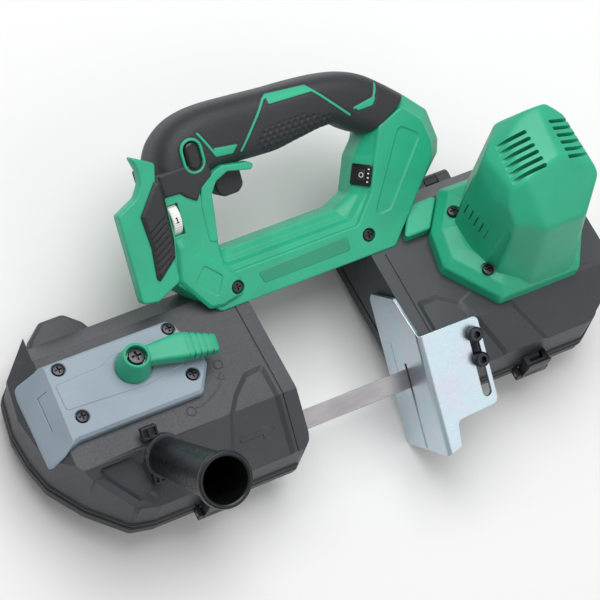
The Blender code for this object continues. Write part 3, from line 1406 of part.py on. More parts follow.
panel_frame = bpy.data.objects.new("panel_frame", None)
bpy.context.scene.collection.objects.link(panel_frame)
panel_frame.parent = cut_frame
slope_foot = HANDLE_FRONT - FACE_SLOPE
panel_corner = Vector((*PANEL_LOW, slope_foot))
panel_up = Vector((*PANEL_HIGH, slope_foot)) - panel_corner
panel_out = Vector((*PANEL_LOW_FACE, HANDLE_FRONT)) - panel_corner
panel_z = panel_out.cross(panel_up).normalized()
panel_y = panel_up.normalized()
panel_x = panel_y.cross(panel_z)
panel_frame.matrix_local = Matrix.Translation(panel_corner + panel_up / 2 + panel_out / 2) @ Matrix(
    (panel_x, panel_y, panel_z)
).transposed().to_4x4()
panel_top = GAP + PANEL_THICK
panel_outline = rounded(rectangle((0, 0), PANEL_SIZE), 2 * MM)
panel = prism("control_panel", panel_outline, GAP, panel_top, panel_frame, "cover_plastic")
key_room = (KEY_SIZE[0] + 2 * SLIDE_FIT, KEY_SIZE[1] + 2 * SLIDE_FIT)
key_hole = prism("key_hole", rectangle((0, 0), key_room), -2 * KEY_TRAVEL, FAR / 10, panel_frame)
cut(panel, key_hole)
cut(front_half, key_hole)
key_low = -KEY_TRAVEL / 2
key = prism("mode_key", rectangle((0, 0), KEY_SIZE), key_low, panel_top + KEY_TRAVEL, panel_frame, "rubber")
set_origin(key, (0, 0, key_low))

rail_n = HANDLE_FRONT - FACE_SLOPE - RAIL_THICK
block(
    "battery_terminal_block",
    (RAIL_REACH, GUARD_LOW + 9 * MM, mirrored(rail_n) + GAP),
    (LEFT_LEG[0] - GAP, LEG_TOP - 20 * MM, rail_n - GAP),
    cut_frame,
    "cover_plastic",
)
panel_left = GUARD_REACH + 15 * MM
panel_right = LEFT_LEG[0] + 2 * MM
side_panel = [
    (panel_left, GUARD_LOW + 12 * MM),
    (panel_right - 5 * MM, GUARD_LOW + 12 * MM),
    (panel_right, GUARD_LOW + 30 * MM),
    (panel_right, LEG_TOP + 11 * MM),
    (panel_right - 4 * MM, LEG_TOP + 8 * MM),
    (panel_left, LEG_TOP - 5 * MM),
]
prism("guard_side_panel", side_panel, GUARD_FRONT + GAP, GUARD_FRONT + 2 * MM, cut_frame, "rubber")
board_n = HANDLE_FRONT - 2 * WALL - GAP
board_low = (right_x(34 * MM), BAR_HIGH + 18 * MM, board_n - 3 * MM)
board_high = (right_x(52 * MM), BAR_HIGH + 34 * MM, board_n)
block("controller_board", board_low, board_high, cut_frame, "board_green")


# Work stop


def stop_plate():
    """An L of sheet: the stop flange across the blade and the bolt flange on the drive housing."""
    front = STOP_FRONT
    back = front - STOP_DEPTH
    side = [
        (STOP_LOW, back),
        (STOP_LOW, front),
        (STOP_SHOULDER, front),
        (STOP_TOP, front - 23 * MM),
        (STOP_TOP, back + 4 * MM),
        (STOP_TOP - 4 * MM, back),
    ]
    flange = prism("stop_plate", rounded(side, 1 * MM), 0, STOP_THICK, cut_frame, "zinc_steel")
    flange.data.transform(Matrix(((0, 0, 1, stop_x), (1, 0, 0, 0), (0, 1, 0, 0), (0, 0, 0, 1))))
    face = [
        (stop_x, STOP_LOW),
        (stop_x + FLANGE_TAIL, STOP_LOW + 3 * MM),
        (stop_x + FLANGE_TAIL + 2 * MM, FLANGE_LOW - 2 * MM),
        (stop_x + FLANGE_WIDTH, FLANGE_LOW),
        (stop_x + FLANGE_WIDTH, STOP_SHOULDER),
        (stop_x, STOP_SHOULDER),
    ]
    bolt_face = prism("stop_bolt_flange", rounded(face, 2.5 * MM), front - STOP_THICK, front, cut_frame)
    join(flange, bolt_face)
    slot_x = stop_x + BOLT_SLOT_X
    slot_low = BOLT_U[1] - STOP_TRAVEL
    slot_size = (BOLT_SLOT_WIDTH, BOLT_U[0] - slot_low + BOLT_SLOT_WIDTH)
    slot_mid = (slot_x, (BOLT_U[0] + slot_low) / 2)
    bolt_slot = prism("bolt_slot", stadium(slot_mid, slot_size), -FAR, FAR, cut_frame)
    blade_low = (stop_x - MM, -FAR, BLADE_N - BLADE_SLOT_WIDTH / 2)
    blade_high = (stop_x + STOP_THICK + GAP, BLADE_U + BLADE_SLOT_TOP, BLADE_N + BLADE_SLOT_WIDTH / 2)
    cut(flange, bolt_slot, block("stop_blade_slot", blade_low, blade_high, cut_frame))
    return flange


stop_plate()
head_low = STOP_PAD + 2 * GAP + STOP_THICK
for i, u in enumerate(BOLT_U):
    profile = (
        (0, head_low - BOLT_LENGTH),
        (BOLT_RADIUS, head_low - BOLT_LENGTH),
        (BOLT_RADIUS, head_low),
        (BOLT_HEAD_RADIUS, head_low),
        (BOLT_HEAD_RADIUS, head_low + BOLT_HEAD_HEIGHT),
        (0, head_low + BOLT_HEAD_HEIGHT),
    )
    bolt = turned(f"stop_bolt_{i + 1}", profile, cut_frame, "black_steel", (pad_x, u, 0), "Z", 18)
    socket = rod(
        f"bolt_socket_{i}",
        BOLT_HEAD_RADIUS / 2,
        head_low + BOLT_HEAD_HEIGHT / 2,
        FAR,
        cut_frame,
        None,
        (pad_x, u, 0),
        "Z",
        6,
    )
    cut(bolt, socket)


# Side handle

side_low = BOSS_HEIGHT + GAP
side_profile = (
    (0, -STUD_LENGTH),
    (STUD_RADIUS, -STUD_LENGTH),
    (STUD_RADIUS, side_low),
    (SIDE_BASE_RADIUS, side_low),
    (SIDE_END_RADIUS, SIDE_LENGTH - SIDE_LIP_LENGTH - 2 * MM),
    (SIDE_LIP_RADIUS, SIDE_LENGTH - SIDE_LIP_LENGTH),
    (SIDE_LIP_RADIUS, SIDE_LENGTH - 1.5 * MM),
    (SIDE_LIP_RADIUS - 1.5 * MM, SIDE_LENGTH),
    (SIDE_BORE_RADIUS, SIDE_LENGTH),
    (SIDE_BORE_BOTTOM, side_low + SIDE_FLOOR),
    (0, side_low + SIDE_FLOOR),
)
turned("side_handle", side_profile, cut_frame, "rubber", side_at, "Z", 28)
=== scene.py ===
import json
import math

import bmesh
import bpy
import numpy as np
from mathutils import Matrix, Vector

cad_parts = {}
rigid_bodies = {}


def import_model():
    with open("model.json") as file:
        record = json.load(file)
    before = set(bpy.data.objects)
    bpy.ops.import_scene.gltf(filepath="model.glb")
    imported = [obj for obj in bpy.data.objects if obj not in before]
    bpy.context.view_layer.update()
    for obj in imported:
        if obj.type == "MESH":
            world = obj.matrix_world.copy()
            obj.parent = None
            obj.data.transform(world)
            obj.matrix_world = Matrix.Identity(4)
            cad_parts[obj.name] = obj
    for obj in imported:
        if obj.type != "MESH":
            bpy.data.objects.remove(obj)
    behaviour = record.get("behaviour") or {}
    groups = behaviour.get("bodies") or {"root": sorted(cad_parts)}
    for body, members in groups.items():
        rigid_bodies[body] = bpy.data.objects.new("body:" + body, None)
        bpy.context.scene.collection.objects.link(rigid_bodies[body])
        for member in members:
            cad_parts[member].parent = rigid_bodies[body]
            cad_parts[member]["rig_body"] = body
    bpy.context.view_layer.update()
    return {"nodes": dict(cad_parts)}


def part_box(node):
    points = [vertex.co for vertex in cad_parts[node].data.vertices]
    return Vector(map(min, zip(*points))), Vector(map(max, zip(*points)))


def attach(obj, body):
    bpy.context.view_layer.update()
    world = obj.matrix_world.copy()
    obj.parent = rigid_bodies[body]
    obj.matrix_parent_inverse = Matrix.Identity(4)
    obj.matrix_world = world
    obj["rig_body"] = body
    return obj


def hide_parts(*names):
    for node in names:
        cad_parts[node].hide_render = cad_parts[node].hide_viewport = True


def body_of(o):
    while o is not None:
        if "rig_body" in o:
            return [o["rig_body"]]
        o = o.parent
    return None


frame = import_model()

nodes = frame["nodes"]

# how the saw lies: lean of the wheel plane, lean of the cut against it (degrees), and the tool's zero point (mm)
lie = {"lean": 11.4225219, "cutLean": 36.5, "zero": (-38.6, -60.3, 81.6705)}


def turnX(degrees):  # rotation about X
    c, s = math.cos(math.radians(degrees)), math.sin(math.radians(degrees))
    return np.array(((1, 0, 0), (0, c, -s), (0, s, c)))


toolTurn = turnX(-lie["lean"])
cutTurn = turnX(lie["cutLean"] - lie["lean"])


def fromTool(points):  # tool frame in mm (X along the blade, Y away from the cut, Z wheel axis) to metres
    return (np.asarray(points, float) @ toolTurn.T + lie["zero"]) / 1000


def fromCut(points):  # cut frame in mm (X along the blade, u up the cut, n its normal) to metres
    return (np.asarray(points, float) @ cutTurn.T + lie["zero"]) / 1000


def toCut(points):  # metres back to the cut frame in mm
    return (np.asarray(points, float) * 1000 - lie["zero"]) @ cutTurn


# materials

def linear(hexColour):  # sRGB hex to linear RGBA
    parts = np.array([int(hexColour[i:i + 2], 16) for i in (1, 3, 5)]) / 255
    low, high = parts / 12.92, ((parts + 0.055) / 1.055) ** 2.4
    return (*np.where(parts <= 0.04045, low, high), 1.0)


def addNode(tree, kind, settings=None, links=None):  # one node with its settings and its incoming links
    node = tree.nodes.new(kind)
    for key, value in (settings or {}).items():
        if isinstance(key, str) and hasattr(node, key):
            setattr(node, key, value)
        else:
            node.inputs[key].default_value = value
    for key, socket in (links or {}).items():
        tree.links.new(socket, node.inputs[key])
    return node


def perMm(size):  # scale of a pattern on Object coordinates (metres) whose features are this many mm wide
    return 1000 / size


def startMaterial(name):
    material = bpy.data.materials.new(name)
    material.use_nodes = True
    tree = material.node_tree
    return material, tree, tree.nodes["Principled BSDF"]


def moulded(name, colour, shade, edgeHighlight, roughness, grain, depth, sheen=0.0, edge=0.7, inlay=None):
    # plastic or rubber: even colour with faint clouding, spark-eroded grain, edges painted paler as a painted
    # highlight
    material, tree, shader = startMaterial(name)
    place = addNode(tree, "ShaderNodeTexCoord").outputs["Object"]
    cloud = addNode(tree, "ShaderNodeTexNoise", {"Scale": perMm(38), "Detail": 3.0}, {"Vector": place})
    fine = addNode(tree, "ShaderNodeTexNoise", {"Scale": perMm(grain), "Detail": 2.0}, {"Vector": place})
    body = addNode(tree, "ShaderNodeMix", {"data_type": "RGBA", 6: linear(colour), 7: linear(shade)},
                   {0: addNode(tree, "ShaderNodeMapRange", {1: 0.42, 2: 0.72}, {0: cloud.outputs[0]}).outputs[0]})
    if inlay:  # second colour where the mesh's inlay distance is negative
        mark = addNode(tree, "ShaderNodeAttribute", {"attribute_name": "inlay"})
        on = addNode(tree, "ShaderNodeMapRange", {1: 0.12, 2: -0.12}, {0: mark.outputs["Fac"]})
        body = addNode(tree, "ShaderNodeMix", {"data_type": "RGBA", 7: linear(inlay)},
                       {0: on.outputs[0], 6: body.outputs[2]})
    shape = {}
    if edge:  # painted highlight: edges painted paler, and a little rounded in shading
        soft = addNode(tree, "ShaderNodeBevel", {"samples": 4, "Radius": edge / 1000})
        flat = addNode(tree, "ShaderNodeNewGeometry")
        bent = addNode(tree, "ShaderNodeVectorMath", {"operation": "DOT_PRODUCT"},
                       {0: soft.outputs[0], 1: flat.outputs["Normal"]})
        # painted highlight: share of the paler edge colour, from how far the rounded normal bends from the flat one
        highlightShare = addNode(tree, "ShaderNodeMapRange", {1: 0.985, 2: 0.80, 3: 0.0, 4: 0.55}, {0: bent.outputs["Value"]})
        body = addNode(tree, "ShaderNodeMix", {"data_type": "RGBA", 7: linear(edgeHighlight)},
                       {0: highlightShare.outputs[0], 6: body.outputs[2]})
        shape = {"Normal": soft.outputs[0]}
    dull = addNode(tree, "ShaderNodeMapRange", {1: 0.3, 2: 0.7, 3: roughness - 0.06, 4: roughness + 0.08},
                   {0: fine.outputs[0]})
    relief = addNode(tree, "ShaderNodeBump", {"Strength": 0.35, "Distance": depth / 1000},
                     {"Height": fine.outputs[0], **shape})
    tree.links.new(body.outputs[2], shader.inputs["Base Color"])
    tree.links.new(dull.outputs[0], shader.inputs["Roughness"])
    tree.links.new(relief.outputs[0], shader.inputs["Normal"])
    shader.inputs["IOR"].default_value = 1.5
    shader.inputs["Sheen Weight"].default_value = sheen
    return material


def metal(name, colour, tint, roughness, streak, along, depth, tintSize=24.0):
    # worked metal: streaks along one direction and a faint drift of tint over the face
    material, tree, shader = startMaterial(name)
    place = addNode(tree, "ShaderNodeTexCoord").outputs["Object"]
    pull = addNode(tree, "ShaderNodeMapping", {"Scale": along}, {"Vector": place})
    lines = addNode(tree, "ShaderNodeTexNoise", {"Scale": perMm(streak), "Detail": 3.0}, {"Vector": pull.outputs[0]})
    drift = addNode(tree, "ShaderNodeTexNoise", {"Scale": perMm(tintSize), "Detail": 2.0}, {"Vector": place})
    blend = addNode(tree, "ShaderNodeMapRange", {1: 0.4, 2: 0.68}, {0: drift.outputs[0]})
    body = addNode(tree, "ShaderNodeMix", {"data_type": "RGBA", 6: linear(colour), 7: linear(tint)},
                   {0: blend.outputs[0]})
    dull = addNode(tree, "ShaderNodeMapRange", {1: 0.3, 2: 0.7, 3: roughness - 0.07, 4: roughness + 0.09},
                   {0: lines.outputs[0]})
    soft = addNode(tree, "ShaderNodeBevel", {"samples": 4, "Radius": 0.0005})
    relief = addNode(tree, "ShaderNodeBump", {"Strength": 0.25, "Distance": depth / 1000},
                     {"Height": lines.outputs[0], "Normal": soft.outputs[0]})
    tree.links.new(body.outputs[2], shader.inputs["Base Color"])
    tree.links.new(dull.outputs[0], shader.inputs["Roughness"])
    tree.links.new(relief.outputs[0], shader.inputs["Normal"])
    shader.inputs["Metallic"].default_value = 1.0
    return material


# glass-filled nylon of the housings: dark grey, spark-eroded; grain drawn at 1.1 mm, since the real 0.4 mm is lost
housingNylon = moulded("glassFilledNylon", "#383B40", "#32353A", "#63676D", 0.46, 1.1, 0.16)
rimNylon = moulded("blackNylon", "#222427", "#1E2022", "#43464A", 0.42, 1.1, 0.08)
greenNylon = moulded("greenNylon", "#24A981", "#209C77", "#6FCBAE", 0.42, 1.2, 0.05)
greenLabel = moulded("greenLabelFilm", "#178F6B", "#15896A", "#3FAF8C", 0.3, 3.0, 0.003, edge=0)
plateNylon = moulded("greyBlueNylon", "#8B9AA6", "#84939F", "#B5C0C8", 0.46, 1.2, 0.05)
gripElastomer = moulded("gripElastomer", "#25282D", "#212428", "#42474D", 0.56, 1.0, 0.14, sheen=0.08)
gripInlaid = moulded("gripElastomerInlaid", "#25282D", "#212428", "#42474D", 0.56, 1.0, 0.14, sheen=0.08,
                     inlay="#24A981")
glossNylon = moulded("polishedBlackNylon", "#0E0F11", "#0B0C0E", "#242428", 0.3, 3.0, 0.002, edge=0)
whiteAcetal = moulded("whiteAcetal", "#EDEDEA", "#E4E4E0", "#F6F6F4", 0.35, 1.2, 0.03)
boardLaminate = moulded("greenSolderMask", "#1E5A38", "#1A5032", "#3C7A56", 0.4, 1.5, 0.03)
# zinc-plated, blue-passivated sheet: bright, with faint blue and pink drifts
zincPlate = metal("bluePassivatedZinc", "#C4D7DF", "#CDCFDC", 0.34, 0.9, (1, 1, 1), 0.02)
bladeSteel = metal("groundBladeSteel", "#A9A7A9", "#9B999B", 0.36, 0.7, (0.06, 1, 1), 0.03)
turnedSteel = metal("turnedSteel", "#B9BABD", "#A8A9AD", 0.3, 0.8, (1, 1, 0.1), 0.02)
castAluminium = metal("castAluminium", "#B2B4B7", "#A3A5A8", 0.48, 1.6, (1, 1, 1), 0.06)
blackOxide = metal("blackOxideSteel", "#26262A", "#1E1E21", 0.36, 0.9, (1, 1, 1), 0.02)
screwSteel = metal("phosphatedSteel", "#4A4A4E", "#3A3A3E", 0.32, 0.9, (1, 1, 1), 0.02)
windingCopper = metal("windingCopper", "#B87346", "#A5623A", 0.4, 0.9, (1, 1, 0.08), 0.08)
print("materials made")

finishes = {  # CAD node to the material it keeps
    "left_housing": housingNylon, "right_housing": housingNylon, "frame_bridge": housingNylon,
    "left_blade_cover": rimNylon, "right_blade_cover": rimNylon, "left_latch": rimNylon, "right_latch": rimNylon,
    "tension_plate": plateNylon, "tension_lever": greenNylon, "motor_housing": greenNylon,
    "handle_front_half": greenNylon, "handle_rear_half": greenNylon, "rubber_grip": gripElastomer,
    "trigger": gripElastomer, "lock_off_button": gripElastomer, "speed_dial": whiteAcetal,
    "control_panel": rimNylon, "mode_key": housingNylon, "guard_side_panel": gripElastomer,
    "battery_terminal_block": rimNylon, "switch_body": rimNylon, "controller_board": boardLaminate,
    "side_handle": glossNylon, "saw_blade": bladeSteel, "stop_plate": zincPlate,
    "idler_tyre": gripElastomer, "drive_tyre": gripElastomer, "idler_wheel": castAluminium,
    "drive_wheel": castAluminium, "gear_plate": castAluminium, "stator": windingCopper, "motor_fan": rimNylon,
}
darkScrews = ("plate_screw_1", "plate_screw_2", "plate_screw_3", "plate_screw_4", "motor_screw_1", "motor_screw_2",
              "handle_screw_1", "handle_screw_2", "lever_screw", "stop_bolt_1", "stop_bolt_2")
for name, node in nodes.items():
    material = finishes.get(name, blackOxide if name in darkScrews else turnedSteel)
    node.data.materials.clear()
    node.data.materials.append(material)
print("solids dressed", len(nodes))


# shapes: rings of points in metres, lofted into closed meshes

def unit(vectors):
    size = np.linalg.norm(vectors, axis=-1, keepdims=True)
    return vectors / np.maximum(size, 1e-12)


def across(a, b):  # third component of the cross product of flat vectors
    return a[..., 0] * b[..., 1] - a[..., 1] * b[..., 0]


def roundLoop(corners, radius, steps=5):
    # each corner becomes an arc that starts radius / tan(half angle) before it, at most 0.45 of a side
    c = np.asarray(corners, float)
    back, ahead = np.roll(c, 1, 0) - c, np.roll(c, -1, 0) - c
    b, a = unit(back), unit(ahead)
    half = np.arccos(np.clip((b * a).sum(1), -1, 1)) / 2
    sides = np.minimum(np.linalg.norm(back, axis=1), np.linalg.norm(ahead, axis=1))
    reach = np.minimum(np.broadcast_to(radius, len(c)) / np.tan(half), 0.45 * sides)
    size = reach * np.tan(half)
    middle = c + unit(b + a) * (size / np.sin(half))[:, None]
    first, last = c + b * reach[:, None] - middle, c + a * reach[:, None] - middle
    turn = np.arctan2(across(first, last), (first * last).sum(1))[:, None] * np.linspace(0, 1, steps + 1)
    cos, sin = np.cos(turn), np.sin(turn)
    x = first[:, :1] * cos - first[:, 1:] * sin
    y = first[:, :1] * sin + first[:, 1:] * cos
    return (middle[:, None] + np.stack((x, y), -1)).reshape(-1, 2)


def insetLoop(points, distance):  # outline moved inwards, corners mitred
    p = np.asarray(points, float)
    back, ahead = unit(p - np.roll(p, 1, 0)), unit(np.roll(p, -1, 0) - p)
    side = np.column_stack((-back[:, 1], back[:, 0]))
    middle = unit(side + np.column_stack((-ahead[:, 1], ahead[:, 0])))
    way = np.sign(across(p, np.roll(p, -1, 0)).sum())
    return p + middle * (way * distance / np.maximum((middle * side).sum(1), 0.3))[:, None]


def smoothPath(points, count):  # Catmull-Rom curve through the points, sampled evenly by point number
    p = np.asarray(points, float)
    t = np.linspace(0, len(p) - 1, count)
    i = np.minimum(t.astype(int), len(p) - 2)
    f = (t - i)[:, None]
    q = np.vstack((2 * p[0] - p[1], p, 2 * p[-1] - p[-2]))
    a, b, c, d = q[i], q[i + 1], q[i + 2], q[i + 3]
    return 0.5 * (2 * b + (c - a) * f + (2 * a - 5 * b + 4 * c - d) * f ** 2 + (3 * b - a - 3 * c + d) * f ** 3)


def lineDistance(points, path):  # distance of flat points from an open line of points
    p, q = np.asarray(points, float)[:, None], np.asarray(path, float)
    a, along = q[:-1], q[1:] - q[:-1]
    share = np.clip(((p - a) * along).sum(-1) / (along ** 2).sum(-1), 0, 1)
    return np.linalg.norm(p - a - share[..., None] * along, axis=-1).min(1)


def loopDistance(points, loop):  # signed distance from a closed outline, negative inside
    p, q = np.asarray(points, float), np.asarray(loop, float)
    x, y = p[:, :1], p[:, 1:]
    a, b = q, np.roll(q, -1, 0)
    rise = np.where(b[:, 1] == a[:, 1], 1e-9, b[:, 1] - a[:, 1])
    hit = ((a[:, 1] > y) != (b[:, 1] > y)) & (x < (b[:, 0] - a[:, 0]) * (y - a[:, 1]) / rise + a[:, 0])
    distance = lineDistance(p, np.vstack((q, q[:1])))
    return np.where(hit.sum(1) % 2 == 1, -distance, distance)


def buildMesh(name, points, quads, caps=()):
    # quads are rows of four point numbers, caps are single faces of any size
    quads = np.asarray(quads, int).reshape(-1, 4)
    loops = np.concatenate((quads.ravel(), *caps)).astype(np.int32)
    sizes = np.concatenate((np.full(len(quads), 4), [len(cap) for cap in caps])).astype(int)
    starts = np.concatenate(([0], np.cumsum(sizes)[:-1])).astype(np.int32)
    mesh = bpy.data.meshes.new(name)
    mesh.vertices.add(len(points))
    mesh.vertices.foreach_set("co", np.asarray(points, np.float32).ravel())
    mesh.loops.add(len(loops))
    mesh.loops.foreach_set("vertex_index", loops)
    mesh.polygons.add(len(starts))
    mesh.polygons.foreach_set("loop_start", starts)
    mesh.update(calc_edges=True)
    bm = bmesh.new()
    bm.from_mesh(mesh)
    bmesh.ops.remove_doubles(bm, verts=bm.verts, dist=1e-6)
    bmesh.ops.recalc_face_normals(bm, faces=bm.faces)
    bm.to_mesh(mesh)
    bm.free()
    piece = bpy.data.objects.new(name, mesh)
    bpy.context.scene.collection.objects.link(piece)
    return piece


def loft(name, rings, ring=False):
    # rows of points joined by quads, each row closed on itself; ring joins the last row to the first
    rings = np.asarray(rings, float)
    rows, count = rings.shape[:2]
    number = np.arange(rows * count).reshape(rows, count)
    low, high = (number, np.roll(number, -1, 0)) if ring else (number[:-1], number[1:])
    quads = np.stack((low, np.roll(low, -1, 1), np.roll(high, -1, 1), high), -1).reshape(-1, 4)
    caps = () if ring else (number[0][::-1], number[-1])
    return buildMesh(name, rings.reshape(-1, 3), quads, caps)


def slab(name, place, corners, levels, radius=0.0):
    # an outline with rounded corners carried through (inset, height) levels in mm
    rings = []
    for inset, height in levels:
        loop = insetLoop(corners, inset)
        loop = roundLoop(loop, radius) if np.any(radius) else loop
        rings.append(place(np.column_stack((loop, np.full(len(loop), height)))))
    return loft(name, rings)


def lathe(name, profile, at, axis="Z", sides=64, place=fromTool, closed=False, ripple=(0, 0, 0)):
    # profile of (radius, height) in mm turned about an axis ("X" or "Z") through a place; ripple gives the
    # count and depth of ribs on radii from a least one up: r + depth cos(count v)
    r, h = np.asarray(profile, float).T[:, :, None]
    turn = np.arange(sides) * 2 * np.pi / sides
    count, depth, least = ripple
    r = r + np.where(r >= least, depth, 0) * np.cos(count * turn)
    circle = np.stack((r * np.cos(turn), r * np.sin(turn), h + 0 * r), -1)
    order = (2, 0, 1) if axis == "X" else (0, 1, 2)
    return loft(name, place(circle[..., order] + at), closed)


def sweep(name, path, section, side, place, ring=False):
    # a flat section carried along a path: its first number along side, its second along tangent x side
    p = np.asarray(path, float)
    tangent = np.roll(p, -1, 0) - np.roll(p, 1, 0)
    if not ring:
        tangent[0], tangent[-1] = p[1] - p[0], p[-1] - p[-2]
    side = np.broadcast_to(np.asarray(side, float), p.shape)
    out = unit(np.cross(unit(tangent), side))
    s = np.asarray(section, float)
    return loft(name, place(p[:, None] + s[:, 0, None] * side[:, None] + s[:, 1, None] * out[:, None]), ring)


def box(name, place, low, high):  # a plain cutter between two corners in mm
    x, y = (low[0], high[0]), (low[1], high[1])
    outline = [(x[0], y[0]), (x[1], y[0]), (x[1], y[1]), (x[0], y[1])]
    return slab(name, place, outline, ((0, low[2]), (0, high[2])))


def stadium(at, size, steps=10):  # upright oval outline
    half = size[0] / 2
    turn = np.concatenate((np.linspace(-np.pi, 0, steps), np.linspace(0, np.pi, steps)))
    lift = np.repeat((-1, 1), steps) * (size[1] / 2 - half)
    return np.column_stack((at[0] + half * np.cos(turn), at[1] + lift + half * np.sin(turn)))


def applyAll(piece):  # the piece's modifiers worked into its mesh
    bpy.context.view_layer.update()
    shaped = bpy.data.meshes.new_from_object(piece.evaluated_get(bpy.context.evaluated_depsgraph_get()))
    old, shaped.name = piece.data, piece.data.name
    piece.modifiers.clear()
    piece.data = shaped
    bpy.data.meshes.remove(old)
    return piece


def combine(piece, tools, operation):
    for tool in tools:
        step = piece.modifiers.new(tool.name, "BOOLEAN")
        step.operation, step.solver, step.object = operation, "MANIFOLD", tool
    applyAll(piece)
    for tool in tools:
        mesh = tool.data
        bpy.data.objects.remove(tool)
        bpy.data.meshes.remove(mesh)
    return piece


def carve(piece, *tools):
    return combine(piece, tools, "DIFFERENCE")


def weld(piece, *others):
    return combine(piece, others, "UNION")


def copyNode(name, node):  # a CAD solid as a new piece, its doubles merged
    mesh = nodes[node].data.copy()
    mesh.transform(nodes[node].matrix_world)
    bm = bmesh.new()
    bm.from_mesh(mesh)
    bmesh.ops.remove_doubles(bm, verts=bm.verts, dist=1e-6)
    bm.to_mesh(mesh)
    bm.free()
    piece = bpy.data.objects.new(name, mesh)
    bpy.context.scene.collection.objects.link(piece)
    return piece


def fit(piece, material, body, slot, *replaced, smooth=35, flat=60.0):
    # finish of a piece, what it rides on and what it stands for; faces above flat (mm2) keep their own normal
    mesh = piece.data
    mesh.materials.clear()
    mesh.materials.append(material)
    mesh.shade_smooth()
    mesh.set_sharp_from_angle(angle=math.radians(smooth))
    area = np.empty(len(mesh.polygons), np.float32)
    mesh.polygons.foreach_get("area", area)
    mesh.polygons.foreach_set("use_smooth", area < flat * 1e-6)
    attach(piece, body)
    if replaced:
        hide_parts(*replaced)
    return piece


# rubber grip over the handle's core

gripSet = {
    "outer": ((-38, 137), (-37, 150), (-34, 160.5), (-28, 170), (-17, 178), (-4, 182), (12, 183), (35, 181.5),
              (55, 179.8), (75, 178.6), (95, 176.6), (112, 173), (124, 167.5), (136, 158),
              (147, 148)),  # X, u along the top
    "inner": ((-6, 137), (-5, 140), (0, 141), (8, 141), (16, 140.5), (27, 140), (38, 139.3), (52, 139),
              (68, 141), (84, 143), (95, 142.5), (103, 136.5), (109, 132.5), (114, 130)),  # along the hand's side
    "middle": -60.0, "depth": (21.9, 21.0, 20.0, 19.6, 20.0, 21.0, 21.9), "square": 3.0, "along": 330, "around": 200,
    "lines": (((-3.3, 168.7), (0.7, 161), (5.2, 151.5)),
              ((23.4, 148.5), (33.2, 159.6), (47.4, 175.2), (50.9, 177), (78.7, 174.5), (82.9, 169.8), (103, 147.3)),
              ((127, 160.8), (121.9, 153), (107, 150.6))),
    "fields": (((4.6, 156.4), (5.3, 150.4), (17.2, 148.9), (21.7, 153.8)),
               ((50.3, 171.4), (50.5, 176.4), (79, 174), (81.4, 170.2)),
               ((107, 151.4), (109.2, 148.4), (119.7, 148.6), (123.7, 153))),
    "lineHalf": 0.75, "rise": 0.35, "groove": 0.4,
    "dimpled": ((32.5, 149.7), (42.4, 158.6), (72, 158.6), (97, 150), (87.5, 143.6), (55.7, 139.8), (37.4, 140.8)),
    "dimple": (4.6, 3.4, 1.75, 1.1),  # pitch along, pitch up, radius, depth
    "button": (-11.3, 156.7), "buttonSize": (11.2, 19.2), "trigger": (3.5, 24.5, 7.5, 158.5),
}


def inlayField(flat):  # signed distance in mm from the green inlays, negative on them
    lines = [lineDistance(flat, line) - gripSet["lineHalf"] for line in gripSet["lines"]]
    return np.minimum.reduce(lines + [loopDistance(flat, field) for field in gripSet["fields"]])


def dimpleDepth(flat):  # staggered round dimples inside the dimpled field
    wide, high, radius, depth = gripSet["dimple"]
    row = np.floor(flat[:, 1] / high)
    x = (np.mod(flat[:, 0] / wide + 0.5 * np.mod(row, 2), 1) - 0.5) * wide
    y = (np.mod(flat[:, 1] / high, 1) - 0.5) * high
    cup = np.clip(1 - (x ** 2 + y ** 2) / radius ** 2, 0, 1)
    return depth * cup * np.clip(-loopDistance(flat, gripSet["dimpled"]) / 1.5, 0, 1)


def buildGrip():
    # S(t, v) = middle(t) + half(t) c + depth(t) s along n, where (c, s) runs round |c|^k + |s|^k = 1
    count, k = gripSet["along"], gripSet["square"]
    outer, inner = smoothPath(gripSet["outer"], count), smoothPath(gripSet["inner"], count)
    depth = smoothPath(np.column_stack((gripSet["depth"],) * 2), count)[:, 0]
    turn = (np.arange(gripSet["around"]) + 0.5) * 2 * np.pi / gripSet["around"]
    c, s = np.cos(turn), np.sin(turn)
    size = (np.abs(c) ** k + np.abs(s) ** k) ** (-1 / k)
    flat = (outer + inner)[:, None] / 2 + ((outer - inner)[:, None] / 2) * (size * c)[:, None]
    n = gripSet["middle"] + depth[:, None] * size * s
    points = np.dstack((flat, n))
    around = np.roll(points, -1, 1) - np.roll(points, 1, 1)
    along = np.gradient(points, axis=0)
    out = unit(np.cross(around, along))
    out *= np.sign(((points - points.mean(1, keepdims=True)) * out).sum(-1, keepdims=True))
    level = flat.reshape(-1, 2)
    field = inlayField(level)
    front = np.clip(np.abs(s) * 3 - 0.3, 0, 1)[None].repeat(count, 0).ravel()  # inlays only on the two broad sides
    lift = gripSet["rise"] * np.clip(0.5 - field / 0.5, 0, 1)
    lift -= gripSet["groove"] * np.clip(1 - np.abs(field - 0.7) / 0.6, 0, 1)
    lift = (lift - dimpleDepth(level)) * front
    points += out * lift.reshape(count, -1, 1)
    grip = loft("gripRubber", fromCut(points))
    x0, x1, half, top = gripSet["trigger"]
    middle = gripSet["middle"]
    carve(grip, slab("buttonPocket", fromCut, stadium(gripSet["button"], gripSet["buttonSize"]),
                     ((0, -52), (0, -30))),
          box("triggerPocket", fromCut, (x0, 110, middle - half), (x1, top, middle + half)))
    place = np.empty(len(grip.data.vertices) * 3, np.float32)
    grip.data.vertices.foreach_get("co", place)
    local = toCut(place.reshape(-1, 3))
    mark = inlayField(local[:, :2]) + np.where(np.abs(local[:, 2] - middle) < 9, 5, 0)
    grip.data.attributes.new("inlay", "FLOAT", "POINT").data.foreach_set("value", mark.astype(np.float32))
    return fit(grip, gripInlaid, "frame", "rubber", "rubber_grip", smooth=50)


buildGrip()

